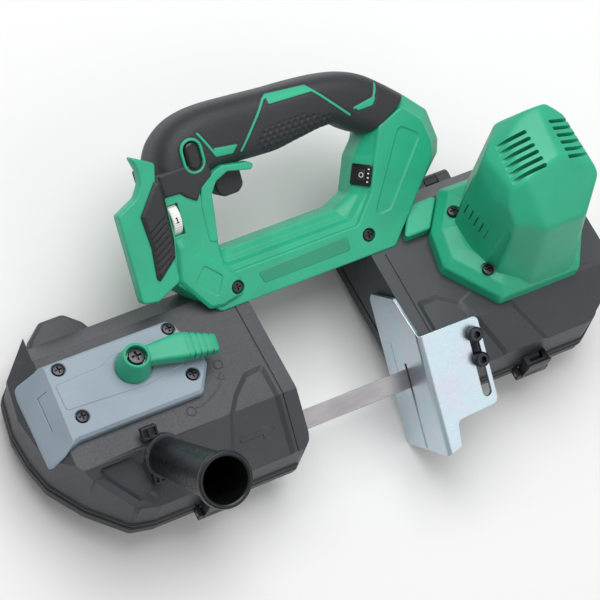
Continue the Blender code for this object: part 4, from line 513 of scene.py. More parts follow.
flapSet = {
    "rubber": ((-38, 152), (-37.5, 137.1), (-26.3, 136.4), (-22.9, 132.7), (-16.2, 127.9), (-11.2, 135.5),
               (-2, 141), (-2, 152)),
    "lip": ((-15.5, 100), (-14.5, 124), (-11.4, 135), (-5, 140), (1, 143), (7, 144.4), (26, 140.6), (28.2, 138.2),
            (25.5, 135.6),
            (9, 139.6), (0, 136), (-5.2, 129), (-6.2, 121), (-7.6, 111), (-9.6, 98)),
    "tongueLevels": ((0, 18), (0, 21.6), (0.6, 22.3), (1.4, 22.5)),
    "lipLevels": ((1.5, 9), (0, 11.5), (0, 20.8), (0.4, 21.4), (1, 21.6)),
    "ring": (13.6, 21.6), "ringWidth": 1.1,
}


def buildGripTrim():
    # rubber tongue on the leg, green lip under it, green ring round the lock-off button
    for side, sign in (("Front", 1), ("Rear", -1)):
        levels = [(i, gripSet["middle"] + sign * h) for i, h in flapSet["tongueLevels"]]
        fit(slab("gripTongue" + side, fromCut, flapSet["rubber"], levels, 1.5), gripElastomer, "frame", "rubber")
        levels = [(i, gripSet["middle"] + sign * h) for i, h in flapSet["lipLevels"]]
        fit(slab("triggerLip" + side, fromCut, flapSet["lip"], levels, 1.5), greenNylon, "frame", "green_plastic")
    loop = stadium(gripSet["button"], flapSet["ring"], 16)
    path = np.column_stack((loop, np.full(len(loop), -38.3)))
    turn = np.arange(12) * np.pi / 6
    bead = np.column_stack((1.2 * np.cos(turn), flapSet["ringWidth"] * np.sin(turn)))
    fit(sweep("buttonRing", path, bead, (0, 0, 1), fromCut, ring=True), greenNylon, "frame", "green_plastic")


buildGripTrim()
print("grip built")


# handle halves: legs and bar, the face sloping in to the hand

handleSet = {
    "middle": -60.0, "round": 4.0,
    # each corner: on the split (X, u) and on the front face (X, u)
    "corners": (((-22, 54), (-20, 54)), ((113, 54), (111, 54)), ((121, 61), (117, 61)), ((163, 101), (153, 102)),
                ((166, 110), (155, 112)), ((163, 131), (152, 128)), ((147, 148), (140, 141)),
                ((116, 131), (121, 134)),
                ((103, 118), (113, 116)), ((93, 95), (103, 93)), ((80, 89.5), (88, 76)), ((-5, 89.5), (-9, 76)),
                ((-6, 137.6), (-13, 137.6)), ((-37, 137.6), (-35, 137.6)), ((-46, 130), (-44, 130)),
                ((-46, 80), (-44, 80))),
    "bar": (10, 11),  # corners of the bar's stepped upper side
    # depth from the split, share of the way to the face, the bar's own share
    "steps": ((0.15, 0, 0), (7.8, 0, 0), (8.8, 0.03, 0.02), (10, 0.11, 0.12), (13.2, 0.40, 0.34), (13.8, 0.46, 0.56),
              (14.6, 0.53, 0.60), (17.6, 0.80, 0.74), (18.2, 0.86, 0.94), (19.2, 0.93, 0.985), (20.3, 0.985, 1.0)),
    "edge": ((0.35, 20.75), (1.0, 21.0)),
    "guard": ((-73, 78), (-62, 76), (-44, 84), (-42.4, 150), (-39.6, 161.6), (-54.5, 170.5), (-51.8, 160),
              (-52.4, 152),
              (-58, 144), (-73, 137.2)),
    "guardRound": (3, 3, 3, 6, 2, 0.8, 9, 9, 7, 2), "guardLevels": ((0.8, -41), (0, -40.2), (0, -33.2),
                                                                    (0.5, -32.3), (1.2, -32)),
    "rail": ((-54, 86), (-43, 126), (4.5, 9.5)),
    "arm": ((116, 67), (135.8, 67), (152.1, 88), (130, 88)), "armLevels": ((0, 0.3), (0, 7), (1, 8)),
    "pad": ((-36.5, 113), (-26.2, 97), (-10.9, 84.5), (-1.5, 71.5), (-1.8, 60.5), (-18, 57), (-27.5, 58.5),
            (-43, 82)),
    "padLevels": ((0, -40), (0, -38.6), (1.6, -37.2), (2.4, -36.9)),
    "padHollow": ((-24, 88), (-13, 77), (-20, 63), (-34, 78)),
    "screws": ((-5, 65.6), (94, 67.4)), "screwPocket": ((0, -42), (4.7, -42), (4.7, -38), (5.6, -36), (5.6, -30),
                                                        (0, -30)),
    "recess": ((100.5, 77), (114.5, 78.5), (149, 119.6), (134.6, 130.5)), "recessDepth": 0.7,
    "dial": (-33.2, 121.0, 7.5, 21.0),
    "label": ((14, 62), (78.5, 62.3), (78.5, 71.8), (11, 70.4)),
    "labelLevels": ((0, -39.2), (0, -38.85), (0.3, -38.7)),
}


def handleRings(sign):
    # outline at depth d: each corner runs from its place on the split to its place on the face
    pair = np.asarray(handleSet["corners"], float)
    bar = np.isin(np.arange(len(pair)), handleSet["bar"])
    rings = []
    for depth, share, barShare in handleSet["steps"]:
        mix = np.where(bar, barShare, share)[:, None]
        rings.append((roundLoop(pair[:, 0] * (1 - mix) + pair[:, 1] * mix, handleSet["round"], 4), depth))
    face = roundLoop(pair[:, 1], handleSet["round"], 4)
    rings += [(insetLoop(face, inset), depth) for inset, depth in handleSet["edge"]]
    return [fromCut(np.column_stack((loop, np.full(len(loop), handleSet["middle"] + sign * depth))))
            for loop, depth in rings]


def buildHandle(side, sign):
    shell = loft("handle" + side, handleRings(sign))
    (x0, u0), (x1, u1), depths = handleSet["rail"]
    low, high = sorted(handleSet["middle"] + sign * d for d in depths)
    others = [box("rail", fromCut, (x0, u0, low), (x1, u1, high))]
    tools = []
    if side == "Front":
        others += [slab("guard", fromCut, handleSet["guard"], handleSet["guardLevels"], handleSet["guardRound"]),
                   slab("arm", fromTool, handleSet["arm"], handleSet["armLevels"], 2),
                   slab("pad", fromCut, handleSet["pad"], handleSet["padLevels"], 3)]
        tools += [lathe("pocket", handleSet["screwPocket"], (x, u, 0), "Z", 40, fromCut) for x,
                  u in handleSet["screws"]]
        floor = -39 - handleSet["recessDepth"]
        tools += [slab("recess", fromCut, handleSet["recess"], ((1, floor), (0, floor + 0.5), (0, -30)), 4),
                  slab("padHollow", fromCut, handleSet["padHollow"], ((0.6, -37.6), (0, -36)), 2)]
    x, u, wide, tall = handleSet["dial"]
    tools.append(box("dialSlot", fromCut, (x - wide / 2, u - tall / 2, -62.2), (x + wide / 2, u + tall / 2, -30)))
    weld(shell, *others)
    carve(shell, *tools)
    return fit(shell, greenNylon, "frame", "green_plastic", f"handle_{side.lower()}_half")


for side, sign in (("Front", 1), ("Rear", -1)):
    buildHandle(side, sign)
fit(slab("barLabel", fromCut, handleSet["label"], handleSet["labelLevels"], 2), greenLabel, "frame", "green_plastic")
print("handle built")



# motor housing: eight-sided flange and a faceted tower under a gabled top, vents over its shoulders

motorSet = {
    "axis": (180.6, 43.3), "middle": (4.0, 4.0, 50.0), "crisp": 64, "around": 240, "up": 150, "foot": 5.0,
    "flange": ((53, -14), (53, 20), (32, 47), (-26, 47), (-47, 20), (-51.8, -6), (-26, -41), (35, -41)),
    "flangeLevels": ((0, 0.3), (0, 8.4), (0.6, 9.8), (5.4, 14.6), (6.4, 15.2), (15, 18.4)),
    # facets: bearing (degrees), then distance from the axis and height at two levels
    "facets": ((0, 45, 10, 38.5, 84), (45, 49.5, 10, 45, 84), (90, 45.5, 10, 43.4, 88), (135, 35.5, 18, 36, 84),
               (180, 32.4, 18, 30, 76), (200, 31.4, 18, 29.8, 76), (237, 35, 18, 31.4, 72), (270, 39.2, 18, 33.4, 70),
               (315, 47.5, 14, 39.4, 76),
               (90, 43.6, 88, 36.8, 107), (130, 37, 92, 26.5, 103.5), (182, 30.2, 76, 25, 92.5),
               (174, 25.9, 92, 14.6, 101.4),
               (172, 15, 101.4, -10.7, 108), (352, 34.6, 97, 10.7, 108), (2, 38.7, 84, 35.4, 97),
               (237, 32.2, 72, 20.8, 91),
               (270, 31.9, 75, 8.3, 100)),
    "hollow": ((0, -3), (35, -3), (35, 16.5), (28.4, 17.2), (28.4, 76.3), (12, 84), (12, 90), (0, 90)),
    "vents": 6, "vent": (2.7, 5.3, 53.7, 95.4), "ridge": (0.9, 17.5),
    "slits": ((57.7, 45.8), (51.8, 47.2), (45.9, 48.6), (40.2, 49.4), (35.2, 48.4)), "slit": (1.2, 12.4, 151.4),
    "screws": ((151.4, 68.5), (152.1, 21.4)), "seat": 16.0,
    "channel": ((0, 16.0), (5.2, 16.0), (5.2, 58), (4.9, 61), (3.9, 64), (2.2, 66), (0, 66.8)),
}


def facetPlanes():
    # a facet holds two level lines; its normal leans up where the upper line is nearer the axis
    bearing, near, low, far, high = np.asarray(motorSet["facets"], float).T
    lean = unit(np.column_stack((high - low, near - far)))
    normal = np.column_stack((np.cos(np.radians(bearing)) * lean[:, 0], np.sin(np.radians(bearing)) * lean[:, 0],
                              lean[:, 1]))
    gap = near * lean[:, 0] + low * lean[:, 1] - normal @ np.asarray(motorSet["middle"])
    return np.vstack((normal, (0, 0, -1))), np.append(gap, motorSet["middle"][2] - motorSet["foot"])


def buildMotor():
    # P(a, b) = middle + e r, with e the unit vector of (a, b) and r a soft least of the facets:
    # r = (sum (max(n . e, 0) / gap)^k)^(-1/k)
    normal, gap = facetPlanes()
    a = np.arange(motorSet["around"]) * 2 * np.pi / motorSet["around"]
    b = (np.linspace(-0.5, 0.5, motorSet["up"]) * np.pi * 0.995)[:, None]
    e = np.stack((np.cos(b) * np.cos(a), np.cos(b) * np.sin(a), np.sin(b) + 0 * a), -1)
    k = motorSet["crisp"]
    r = ((np.maximum(e @ normal.T, 1e-4) / gap) ** k).sum(-1) ** (-1 / k)
    ax, ay = motorSet["axis"]
    tower = loft("motorHousing", fromTool(e * r[..., None] + motorSet["middle"] + (ax, ay, 0)))
    flange = np.asarray(motorSet["flange"]) + motorSet["axis"]
    weld(tower, slab("flange", fromTool, flange, motorSet["flangeLevels"], 4))
    tools = [lathe("hollow", motorSet["hollow"], (ax, ay, 0), "Z", 96)]
    wide, pitch, middle, floor = motorSet["vent"]
    for y in middle + pitch * (np.arange(motorSet["vents"]) - (motorSet["vents"] - 1) / 2):
        left, right = (ax + ridge for ridge in motorSet["ridge"])
        for low, high in ((left - 60, left), (right, right + 60)):
            mouth = ((low, y - wide / 2), (high, y - wide / 2), (high, y + wide / 2), (low, y + wide / 2))
            tools.append(slab("vent", fromTool, mouth, ((0, floor), (0, 130)), wide * 0.45))
    wide, tall, deep = motorSet["slit"]
    tools += [box("slit", fromTool, (130, y - wide / 2, z - tall), (deep, y + wide / 2, z)) for y,
              z in motorSet["slits"]]
    tools += [lathe("channel", motorSet["channel"], (x, y, 0), "Z", 48) for x, y in motorSet["screws"]]
    carve(tower, *tools)
    return fit(tower, greenNylon, "frame", "green_plastic", "motor_housing", smooth=28)


buildMotor()
print("motor built")
# wheel housings: the CAD shells with grooves, sunk panels, moulded marks and a beaded rim

housingSet = {
    "left": {
        "outline": ((0, 101), (-144, 101), (-163, 82), (-168, 56), (-166.5, 34), (-162, 16), (-147, -7), (-125, -29),
                    (-110, -32), (0, -32)),
        "grooves": ((-10.6, -9.6, 101),),  # X from, X to, upper end
        "facePanel": ((-53.2, -6), (-40.1, 11.5), (-27.1, 22.8), (-12.2, 24), (-12.2, -6)),
        "slopePanel": ((-12.2, 6), (-47.8, 6), (-57, -34), (-58, -48), (-12.2, -48)),
        "bowl": ((-143, -2.5), (-117, -2.5), (-111, -10), (-107, -28), (-110, -33.5), (-122, -32), (-140, -10)),
        "bowlLevels": ((3.2, -4.4), (2.6, -4.2), (0, 0.1), (0, 2)),
        "latch": -69.0, "hinge": -107.5, "throat": 0.0,
    },
    "right": {
        "outline": ((92, -25), (218, -25), (238, -11), (245, 8), (245, 82), (221, 110), (92, 110)),
        "grooves": ((100.8, 101.8, 64),),
        "facePanel": ((103.4, 24.9), (103.4, -6), (139.7, -6), (131.8, 15.1), (118.3, 25.2)),
        "slopePanel": ((103.4, 6), (134.9, 6), (151, -26.8), (158, -48), (103.4, -48)),
        "bowl": ((160, 8), (163.5, -3), (166.3, -7.9), (190, -48), (262, -48), (262, 8)),
        "bowlLevels": ((3.2, -1.9), (0, 0.1), (0, 3)),
        "latch": 177.0, "hinge": 180.0, "throat": 92.0,
    },
    "sunk": ((3.4, -1.8), (0, 0.1), (0, 3)), "groove": 0.9, "bowlBack": ((0, -8), (0, -2)),
    # the left end falls away from a crease (X, Y of its ends): level there, drop for each mm beyond it
    "crease": ((-141.12, 130), (-157.65, -60)), "fall": (6.35, 1.25), "underPlate": 3.0, "wedge": (40.0, 30.0),
    "end": ((-147, 98.2), (-163.6, 82.3), (-168.0, 56), (-166.6, 34.2), (-162.1, 16), (-154.9, 5)),
    "hood": ((-142, 97), (-134, 109.5), (-121, 120), (-104, 120), (-94, 110), (-88, 97), (-88, 88), (-142, 88)),
    "hoodLevels": ((0, -42.6), (0, -38), (1.2, -35.4), (3.5, -33.5)),
    "bead": (1.7, 1.4), "beadHeight": {"frame": -46.6, "cover": -51.6},
}


def fallHeight(points):  # height of the left end's slope over places X, Y
    (x0, y0), (x1, y1) = housingSet["crease"]
    level, drop = housingSet["fall"]
    x, y = np.asarray(points, float).T
    return level - drop * (x0 + (x1 - x0) * (y - y0) / (y1 - y0) - x)


def overFall(name, outline, levels, top, radius=0.0):  # a slab whose (inset, height) levels follow that slope
    rings = []
    for inset, height in levels:
        loop = insetLoop(outline, inset)
        loop = roundLoop(loop, radius) if radius else loop
        rings.append(fromTool(np.column_stack((loop, np.minimum(fallHeight(loop), top) + height))))
    return loft(name, rings)


def fallWedge(name, under):  # all that stands over the slope lowered by under
    level, drop = housingSet["fall"]
    reach, high = housingSet["wedge"]
    low = level - under
    return loft(name, [fromTool(((x, y, low), (x - reach, y, low - reach * drop), (x - reach, y, high), (x, y, high)))
                       for x, y in housingSet["crease"]])


def buildHousing(side):
    form = housingSet[side]
    shell = copyNode(side + "HousingShell", side + "_housing")
    for x0, x1, top in form["grooves"]:
        carve(shell, box("faceGroove", fromTool, (x0, -0.3, -housingSet["groove"]), (x1, top, 2)),
              box("slopeGroove", fromCut, (x0, -60, -housingSet["groove"]), (x1, 0.3, 2)))
    carve(shell, slab("facePanel", fromTool, form["facePanel"], housingSet["sunk"], 2),
          slab("slopePanel", fromCut, form["slopePanel"], housingSet["sunk"], 1.5))
    if side == "left":  # hood over the hinge, the end that falls away, the bowl's back
        under = housingSet["underPlate"]
        weld(shell, slab("hood", fromTool, housingSet["hood"], housingSet["hoodLevels"], 5),
             overFall("endWall", housingSet["end"], ((0, -under - 4), (0, -under)), housingSet["fall"][0]),
             slab("bowlBack", fromCut, form["bowl"], housingSet["bowlBack"], 4))
        carve(shell, fallWedge("endFall", under))
    carve(shell, slab("bowl", fromCut, form["bowl"], form["bowlLevels"], 4))
    return fit(shell, housingNylon, "frame", "housing_plastic", side + "_housing", smooth=25)


def buildRims(side):
    # a bead round the outline on each side of the split, cut away at latch, hinge and throat
    form = housingSet[side]
    loop = roundLoop(form["outline"], 7, 6)
    turn = np.arange(14) * np.pi / 7
    high, out = housingSet["bead"]
    section = np.column_stack((high * np.cos(turn), out * np.sin(turn)))
    for body, height in housingSet["beadHeight"].items():
        path = np.column_stack((loop, np.full(len(loop), height)))
        bead = sweep(side + "Rim" + body.title(), path, section, (0, 0, 1), fromTool, ring=True)
        gaps = [box("latchGap", fromTool, (form["latch"] - 12.5, -60, -70), (form["latch"] + 12.5, 0, 0)),
                box("hingeGap", fromTool, (form["hinge"] - 17, 80, -70), (form["hinge"] + 17, 140, 0))]
        low, high2 = (form["throat"] - 6, form["throat"] + 30) if side == "left" else (form["throat"] - 30,
                                                                                       form["throat"] + 6)
        gaps.append(box("throatGap", fromTool, (low, -60, -70), (high2, 140, 0)))
        carve(bead, *gaps)
        fit(bead, rimNylon, "frame" if body == "frame" else side + "_cover", "cover_plastic")


for side in ("left", "right"):
    buildHousing(side)
    buildRims(side)

markSet = {
    "rise": ((0, -0.3), (0, 0.2), (0.25, 0.45)),
    "turn": ((-66.4, 12.2), (-61.5, 12.4), (-57.2, 13.8), (-50, 17.4), (-45.1, 20.8), (-42.2, 24.2)),
    "turnHead": ((-44.8, 25.2), (-40.4, 22.6), (-40.0, 29)),
    "rings": ((-70.5, 11.0), (-39.5, 34.0)), "ring": (3.4, 2.6),
    "shaft": ((-46, -18.6), (-30, -18.6), (-30, -15.4), (-20.5, -20), (-30, -24.6), (-30, -21.4), (-46, -21.4)),
}


def buildMarks():
    # moulded signs: which way the lever turns, which way the blade runs
    path = smoothPath(markSet["turn"], 24)
    side = unit(np.gradient(path, axis=0))[:, ::-1] * (-1, 1)
    band = np.vstack((path + side * 0.6, (path - side * 0.6)[::-1]))
    for name, place, outline in (("turnArc", fromTool, band), ("turnHead", fromTool, markSet["turnHead"]),
                                 ("runArrow", fromCut, markSet["shaft"])):
        lift = housingSet["sunk"][0][1] if place is fromCut else 0.0  # the run arrow stands in the sunk panel
        levels = [(i * 0.4 if name == "turnArc" else i, h + lift) for i, h in markSet["rise"]]
        fit(slab(name, place, outline, levels), housingNylon, "frame", "housing_plastic")
    outer, inner = markSet["ring"]
    for i, (x, y) in enumerate(markSet["rings"]):
        profile = ((inner, -0.3), (outer, -0.3), (outer, 0.3), (outer - 0.2, 0.45), (inner + 0.2, 0.45), (inner, 0.3))
        fit(lathe(f"turnRing{i}", profile, (x, y, 0), closed=True), housingNylon, "frame", "housing_plastic")


buildMarks()

backSet = {
    "left": ((-12, 88), (-138, 88), (-152, 74), (-156, 54), (-150, 20), (-138, 0), (-118, -18), (-12, -18)),
    "right": ((104, -12), (212, -12), (228, -2), (233, 12), (233, 76), (214, 97), (104, 97)),
    "levels": ((0, -61), (0, -61.9), (0.8, -62.3)),
}
for side in ("left", "right"):
    fit(slab(side + "CoverPanel", fromTool, backSet[side], backSet["levels"], 6), rimNylon, side + "_cover",
        "cover_plastic")
print("housings built")


# tension plate and lever, the side handle's tube, screws

plateSet = {
    "outline": ((-156, 15.3), (-146, 18), (-59, 18), (-47, 36), (-47, 43), (-55, 69), (-59, 73), (-152, 73.5)),
    "levels": ((0, 0.3), (0, 3.6), (0.4, 4.6), (2.2, 6.3)), "round": (1, 1, 4, 4, 4, 4, 4, 1),
    "apron": ((-166.6, 13.6), (-157.3, 14.2), (-150.6, 17.2), (-145.8, 73), (-149, 73.3), (-162.6, 74.2), (-164, 66)),
    "apronLevels": ((0, -2.9), (0, -1.2), (0.4, -0.4), (1.3, 0)), "apronRound": (2.5, 2.5, 0.3, 0.3, 0.3, 2.5, 2.5),
    "top": 6.3, "cornerLevels": ((0, -0.7), (0, 6)),
    "plateau": ((-145, 57.6), (-145.6, 39), (-109.3, 36.9), (-88.6, 36), (-80.3, 38), (-63, 39.6), (-61.4, 43),
                (-68, 58), (-74, 63.4), (-99.8, 63.4), (-105.8, 62), (-111.8, 58.8)),
    "rise": ((0, 5.8), (0, 6.5), (0.5, 6.8)), "hub": (-93.6, 50.5), "hubRoom": 12.7, "shaftRoom": 7.0,
    "sink": ((0, 3.3), (4.6, 3.3), (4.6, 5.6), (5.2, 6.4), (5.2, 12), (0, 12)),
    "screwX": (-138, -60), "screwY": (32, 67),
    "corner": (((-156.0, 57), (-157.6, 33), (-156.9, 33), (-155.3, 57)),
               ((-156.0, 56.9), (-150.5, 56.9), (-150.5, 57.6), (-156.0, 57.6))),
}


def buildPlate():
    plate = slab("tensionPlate", fromTool, plateSet["outline"], plateSet["levels"], plateSet["round"])
    carve(plate, fallWedge("fall", 0))
    weld(plate, overFall("apron", plateSet["apron"], plateSet["apronLevels"], plateSet["top"],
                         plateSet["apronRound"]),
         slab("plateau", fromTool, plateSet["plateau"], plateSet["rise"], 2))
    x, y = plateSet["hub"]
    room, shaft = plateSet["hubRoom"], plateSet["shaftRoom"]
    tools = [lathe("room", ((0, 6.3), (room, 6.3), (room, 12), (0, 12)), (x, y, 0)),
             lathe("shaft", ((0, -5), (shaft, -5), (shaft, 12), (0, 12)), (x, y, 0)),
             *[overFall("corner", line, plateSet["cornerLevels"], plateSet["top"]) for line in plateSet["corner"]]]
    tools += [lathe("sink", plateSet["sink"], (sx, sy, 0), "Z", 40) for sx in plateSet["screwX"]
              for sy in plateSet["screwY"]]
    carve(plate, *tools)
    return fit(plate, plateNylon, "frame", "plate_plastic", "tension_plate", smooth=25)


buildPlate()

leverSet = {
    "hub": ((6.3, 6.6), (11.3, 6.6), (11.8, 7.1), (11.7, 8.4), (9.2, 21.4), (8.9, 22.7), (8.3, 23.4), (7.6, 23.6),
            (7.0, 23.3), (6.8, 22.6), (6.8, 18.6), (6.3, 18.6)),
    "way": (0.985, -0.173), "middle": 16.4, "square": 6.0,
    # along the arm, middle off the line, half width, half height
    "arm": ((7.4, 1.2, 6.2, 4.4), (12, 1.6, 6.6, 4.6), (20, 2.2, 7.6, 4.9), (29, 2.8, 8.9, 5), (34, 2.6, 8.9, 5)),
    "ribs": 5, "pitch": 4.1, "tip": (54.6, 0.2, 6.0, 3.6),
    "ribShape": ((0.0, 0.90), (0.35, 1.0), (3.2, 0.985), (3.7, 0.90)),
}


def buildLever():
    # arm section |w/a|^k + |z/b|^k = 1 along the arm; its tip steps in over five ribs
    start, tip = np.array(leverSet["arm"][-1]), np.array(leverSet["tip"])
    rows = [np.array(row) for row in leverSet["arm"]]
    for i in range(leverSet["ribs"]):
        for step, scale in leverSet["ribShape"]:
            t = start[0] + 0.1 + i * leverSet["pitch"] + step
            row = start + (tip - start) * (t - start[0]) / (tip[0] - start[0])
            rows.append(row * (1, 1, scale, scale))
    along, off, wide, high = np.array(rows).T[:, :, None]
    turn = np.arange(56) * 2 * np.pi / 56
    k = leverSet["square"]
    size = (np.abs(np.cos(turn)) ** k + np.abs(np.sin(turn)) ** k) ** (-1 / k)
    w, z = off + wide * size * np.cos(turn), leverSet["middle"] + high * size * np.sin(turn)
    (dx, dy), (hx, hy) = leverSet["way"], plateSet["hub"]
    arm = loft("tensionLever", fromTool(np.stack((hx + along * dx - w * dy, hy + along * dy + w * dx, z), -1)))
    weld(arm, lathe("hub", leverSet["hub"], (hx, hy, 0), "Z", 72, closed=True))
    return fit(arm, greenNylon, "lever", "green_plastic", "tension_lever", smooth=30)


buildLever()

screwSet = {
    "profile": ((0, -8), (0.48, -8), (0.48, 0), (0.96, 0), (1, 0.1), (1, 0.45), (0.9, 0.62), (0.6, 0.70), (0, 0.72)),
    "cross": (0.58, 0.13, 0.42),  # arm, half width, depth, as shares of the radius
}


def buildScrew(node, place, at, radius, body="frame"):  # pan head with a cross recess
    profile = np.asarray(screwSet["profile"]) * (radius, radius)
    profile[:2, 1] = -7.0 if body == "frame" else -0.2
    screw = lathe(node + "Head", profile, at, "Z", 48, place)
    arm, half, depth = (share * radius for share in screwSet["cross"])
    top = at[2] + 0.72 * radius
    for a, b in ((arm, half), (half, arm)):
        carve(screw, box("cross", place, (at[0] - a, at[1] - b, top - depth), (at[0] + a, at[1] + b, top + 2)))
    return fit(screw, screwSteel, body, "black_steel", node)


plateScrews = [(x, y) for x in plateSet["screwX"] for y in plateSet["screwY"]]
for i, (x, y) in enumerate(plateScrews):
    buildScrew(f"plate_screw_{i + 1}", fromTool, (x, y, 3.35), 4.0)
for name, (x, y) in zip(("motor_screw_1", "motor_screw_2"), motorSet["screws"]):
    buildScrew(name, fromTool, (x, y, motorSet["seat"] + 0.05), 4.0)
for name, (x, u) in zip(("handle_screw_1", "handle_screw_2"), handleSet["screws"]):
    buildScrew(name, fromCut, (x, u, -41.95), 4.0)
buildScrew("lever_screw", fromTool, (*plateSet["hub"], 18.9), 5.6, "lever")

tubeSet = {
    "at": (-98.0, -9.8, 0.0),
    "profile": ((0, 4.3), (12.0, 4.3), (12.5, 4.8), (12.9, 20), (14.2, 55), (15.4, 84), (15.7, 87.4), (16.5, 88.9),
                (17.6, 89.8), (18.1, 91), (18.1, 93.2), (17.6, 94.5), (16.6, 95), (15.6, 94.9), (14.8, 94.3),
                (14.3, 93), (13.6, 70), (11, 30), (10, 14.3), (0, 14.3)),
    "clips": (((-104.2, 8.2), (11.0, 8.5)), ((-106.0, -21.5), (8.0, 7.0))),  # middle, size on the slope
}


def buildTube():
    fit(lathe("sideHandleTube", tubeSet["profile"], tubeSet["at"], "Z", 96, fromCut), glossNylon, "frame",
        "cover_plastic", "side_handle", smooth=40)
    for i, ((x, u), (wide, high)) in enumerate(tubeSet["clips"]):  # clip with two windows that holds the tube's foot
        a, b = wide / 2, high / 2
        clip = slab(f"tubeClip{i}", fromCut, ((x - a, u - b), (x + a, u - b), (x + a, u + b), (x - a, u + b)),
                    ((0, -1), (0, 2.6), (0.4, 3)), 1)
        for s in (-1, 1):
            middle = x + s * wide / 4
            carve(clip, box("window", fromCut, (middle - wide / 7, u - b + 1.4, 1.2),
                            (middle + wide / 7, u + b - 1.4, 6)))
        fit(clip, rimNylon, "frame", "housing_plastic")


buildTube()
print("tension parts built")


# stop plate, its bolts, and the blade's teeth

stopSet = {
    "edge": 88.5, "front": 5.5, "thick": 2.5, "bend": 4.0,
    # flat blank: s from the bend line (minus on the flange, plus on the bolt face), u
    "blank": ((-58, -80.5), (0, -80.5), (11.5, -77.5), (13.5, -60), (45.5, -58), (45.5, 3), (0, 3), (-23, 27),
              (-54, 27),
              (-58, 23)),
    "round": (3, 2, 3, 4, 4, 4, 3, 3, 3, 3),
    "boltSlot": ((39, -28.25), (6.6, 47.1)), "bladeSlot": (-28.9, 1.5, -18.9), "line": (-43.6, -43.0, -44, -6),
    "bolts": {"stop_bolt_1": (127.5, -8), "stop_bolt_2": (127.5, -25.5)},
    "bolt": ((0, -12), (3, -12), (3, 5.8), (4.7, 5.8), (5, 6.1), (5, 10.9), (4.5, 11.6), (3.9, 11.8), (0, 11.8)),
    "socket": (2.6, 3.4),
}


def buildStop():
    # the blank lies flat as (s, u, depth), is cut across near the bend, then goes round it:
    # s = -R..R turns 0..90 degrees about the point R inside both faces
    thick, bend = stopSet["thick"], stopSet["bend"]
    same = lambda points: np.asarray(points, float)
    blank = slab("stopPlateSheet", same, stopSet["blank"], ((0.25, 0), (0, 0.25), (0, thick - 0.25), (0.25, thick)),
                 stopSet["round"])
    x, half, top = stopSet["bladeSlot"]
    x0, x1, u0, u1 = stopSet["line"]
    carve(blank, slab("boltSlot", same, stadium(*stopSet["boltSlot"]), ((0, -2), (0, thick + 2))),
          box("bladeSlot", same, (x - half, -100, -2), (x + half, top, thick + 2)),
          box("line", same, (x0, u0, -2), (x1, u1, 0.3)))
    bm = bmesh.new()
    bm.from_mesh(blank.data)
    for s in np.linspace(-bend, bend, 11):
        bmesh.ops.bisect_plane(bm, geom=bm.verts[:] + bm.edges[:] + bm.faces[:], plane_co=(s, 0, 0),
                               plane_no=(1, 0, 0))
    bmesh.ops.triangulate(bm, faces=bm.faces)
    bm.to_mesh(blank.data)
    bm.free()
    flat = np.empty(len(blank.data.vertices) * 3, np.float32)
    blank.data.vertices.foreach_get("co", flat)
    s, u, depth = flat.reshape(-1, 3).astype(float).T
    turn = np.clip((s + bend) / (2 * bend), 0, 1) * np.pi / 2
    x = stopSet["edge"] + bend - (bend - depth) * np.cos(turn) + np.maximum(s - bend, 0)
    n = stopSet["front"] - bend + (bend - depth) * np.sin(turn) + np.minimum(s + bend, 0)
    blank.data.vertices.foreach_set("co", fromCut(np.column_stack((x, u, n))).astype(np.float32).ravel())
    blank.data.update()
    fit(blank, zincPlate, "stop", "zinc_steel", "stop_plate", smooth=30)


buildStop()
for node, (x, u) in stopSet["bolts"].items():
    bolt = lathe(node + "Knurled", stopSet["bolt"], (x, u, 0), "Z", 160, fromCut, ripple=(40, 0.13, 4.6))
    size, depth = stopSet["socket"]
    turn = np.arange(6) * np.pi / 3 + 0.3
    carve(bolt, slab("socket", fromCut, np.column_stack((x + size * np.cos(turn), u + size * np.sin(turn))),
                     ((0, 11.8 - depth), (0, 14))))
    fit(bolt, screwSteel, "frame", "black_steel", node)

toothSet = {"from": -1.0, "to": 93.0, "pitch": 1.8, "edge": -35.15, "root": -34.6, "deep": 0.95,
            "level": (-23.74, -23.06)}


def buildTeeth():
    # hooked teeth on the blade's lower edge across the throat
    count = int((toothSet["to"] - toothSet["from"]) / toothSet["pitch"])
    start = toothSet["from"] + toothSet["pitch"] * np.arange(count)
    tips = np.column_stack((start, np.full(count, toothSet["edge"] - toothSet["deep"])))
    heels = np.column_stack((start + 0.55 * toothSet["pitch"], np.full(count, toothSet["edge"] - 0.45)))
    roots = np.column_stack((start + 0.97 * toothSet["pitch"], np.full(count, toothSet["edge"] + 0.05)))
    lower = np.stack((tips, heels, roots), 1).reshape(-1, 2)
    outline = np.vstack((lower, ((lower[-1, 0], toothSet["root"]), (lower[0, 0], toothSet["root"]))))
    fit(slab("bladeTeeth", fromCut, outline, [(0, h) for h in toothSet["level"]]), bladeSteel,
        body_of(nodes["saw_blade"])[0], "blade_steel")


buildTeeth()
print("stop built")


# dial, trigger, lock-off button, guard panel, control panel, latches

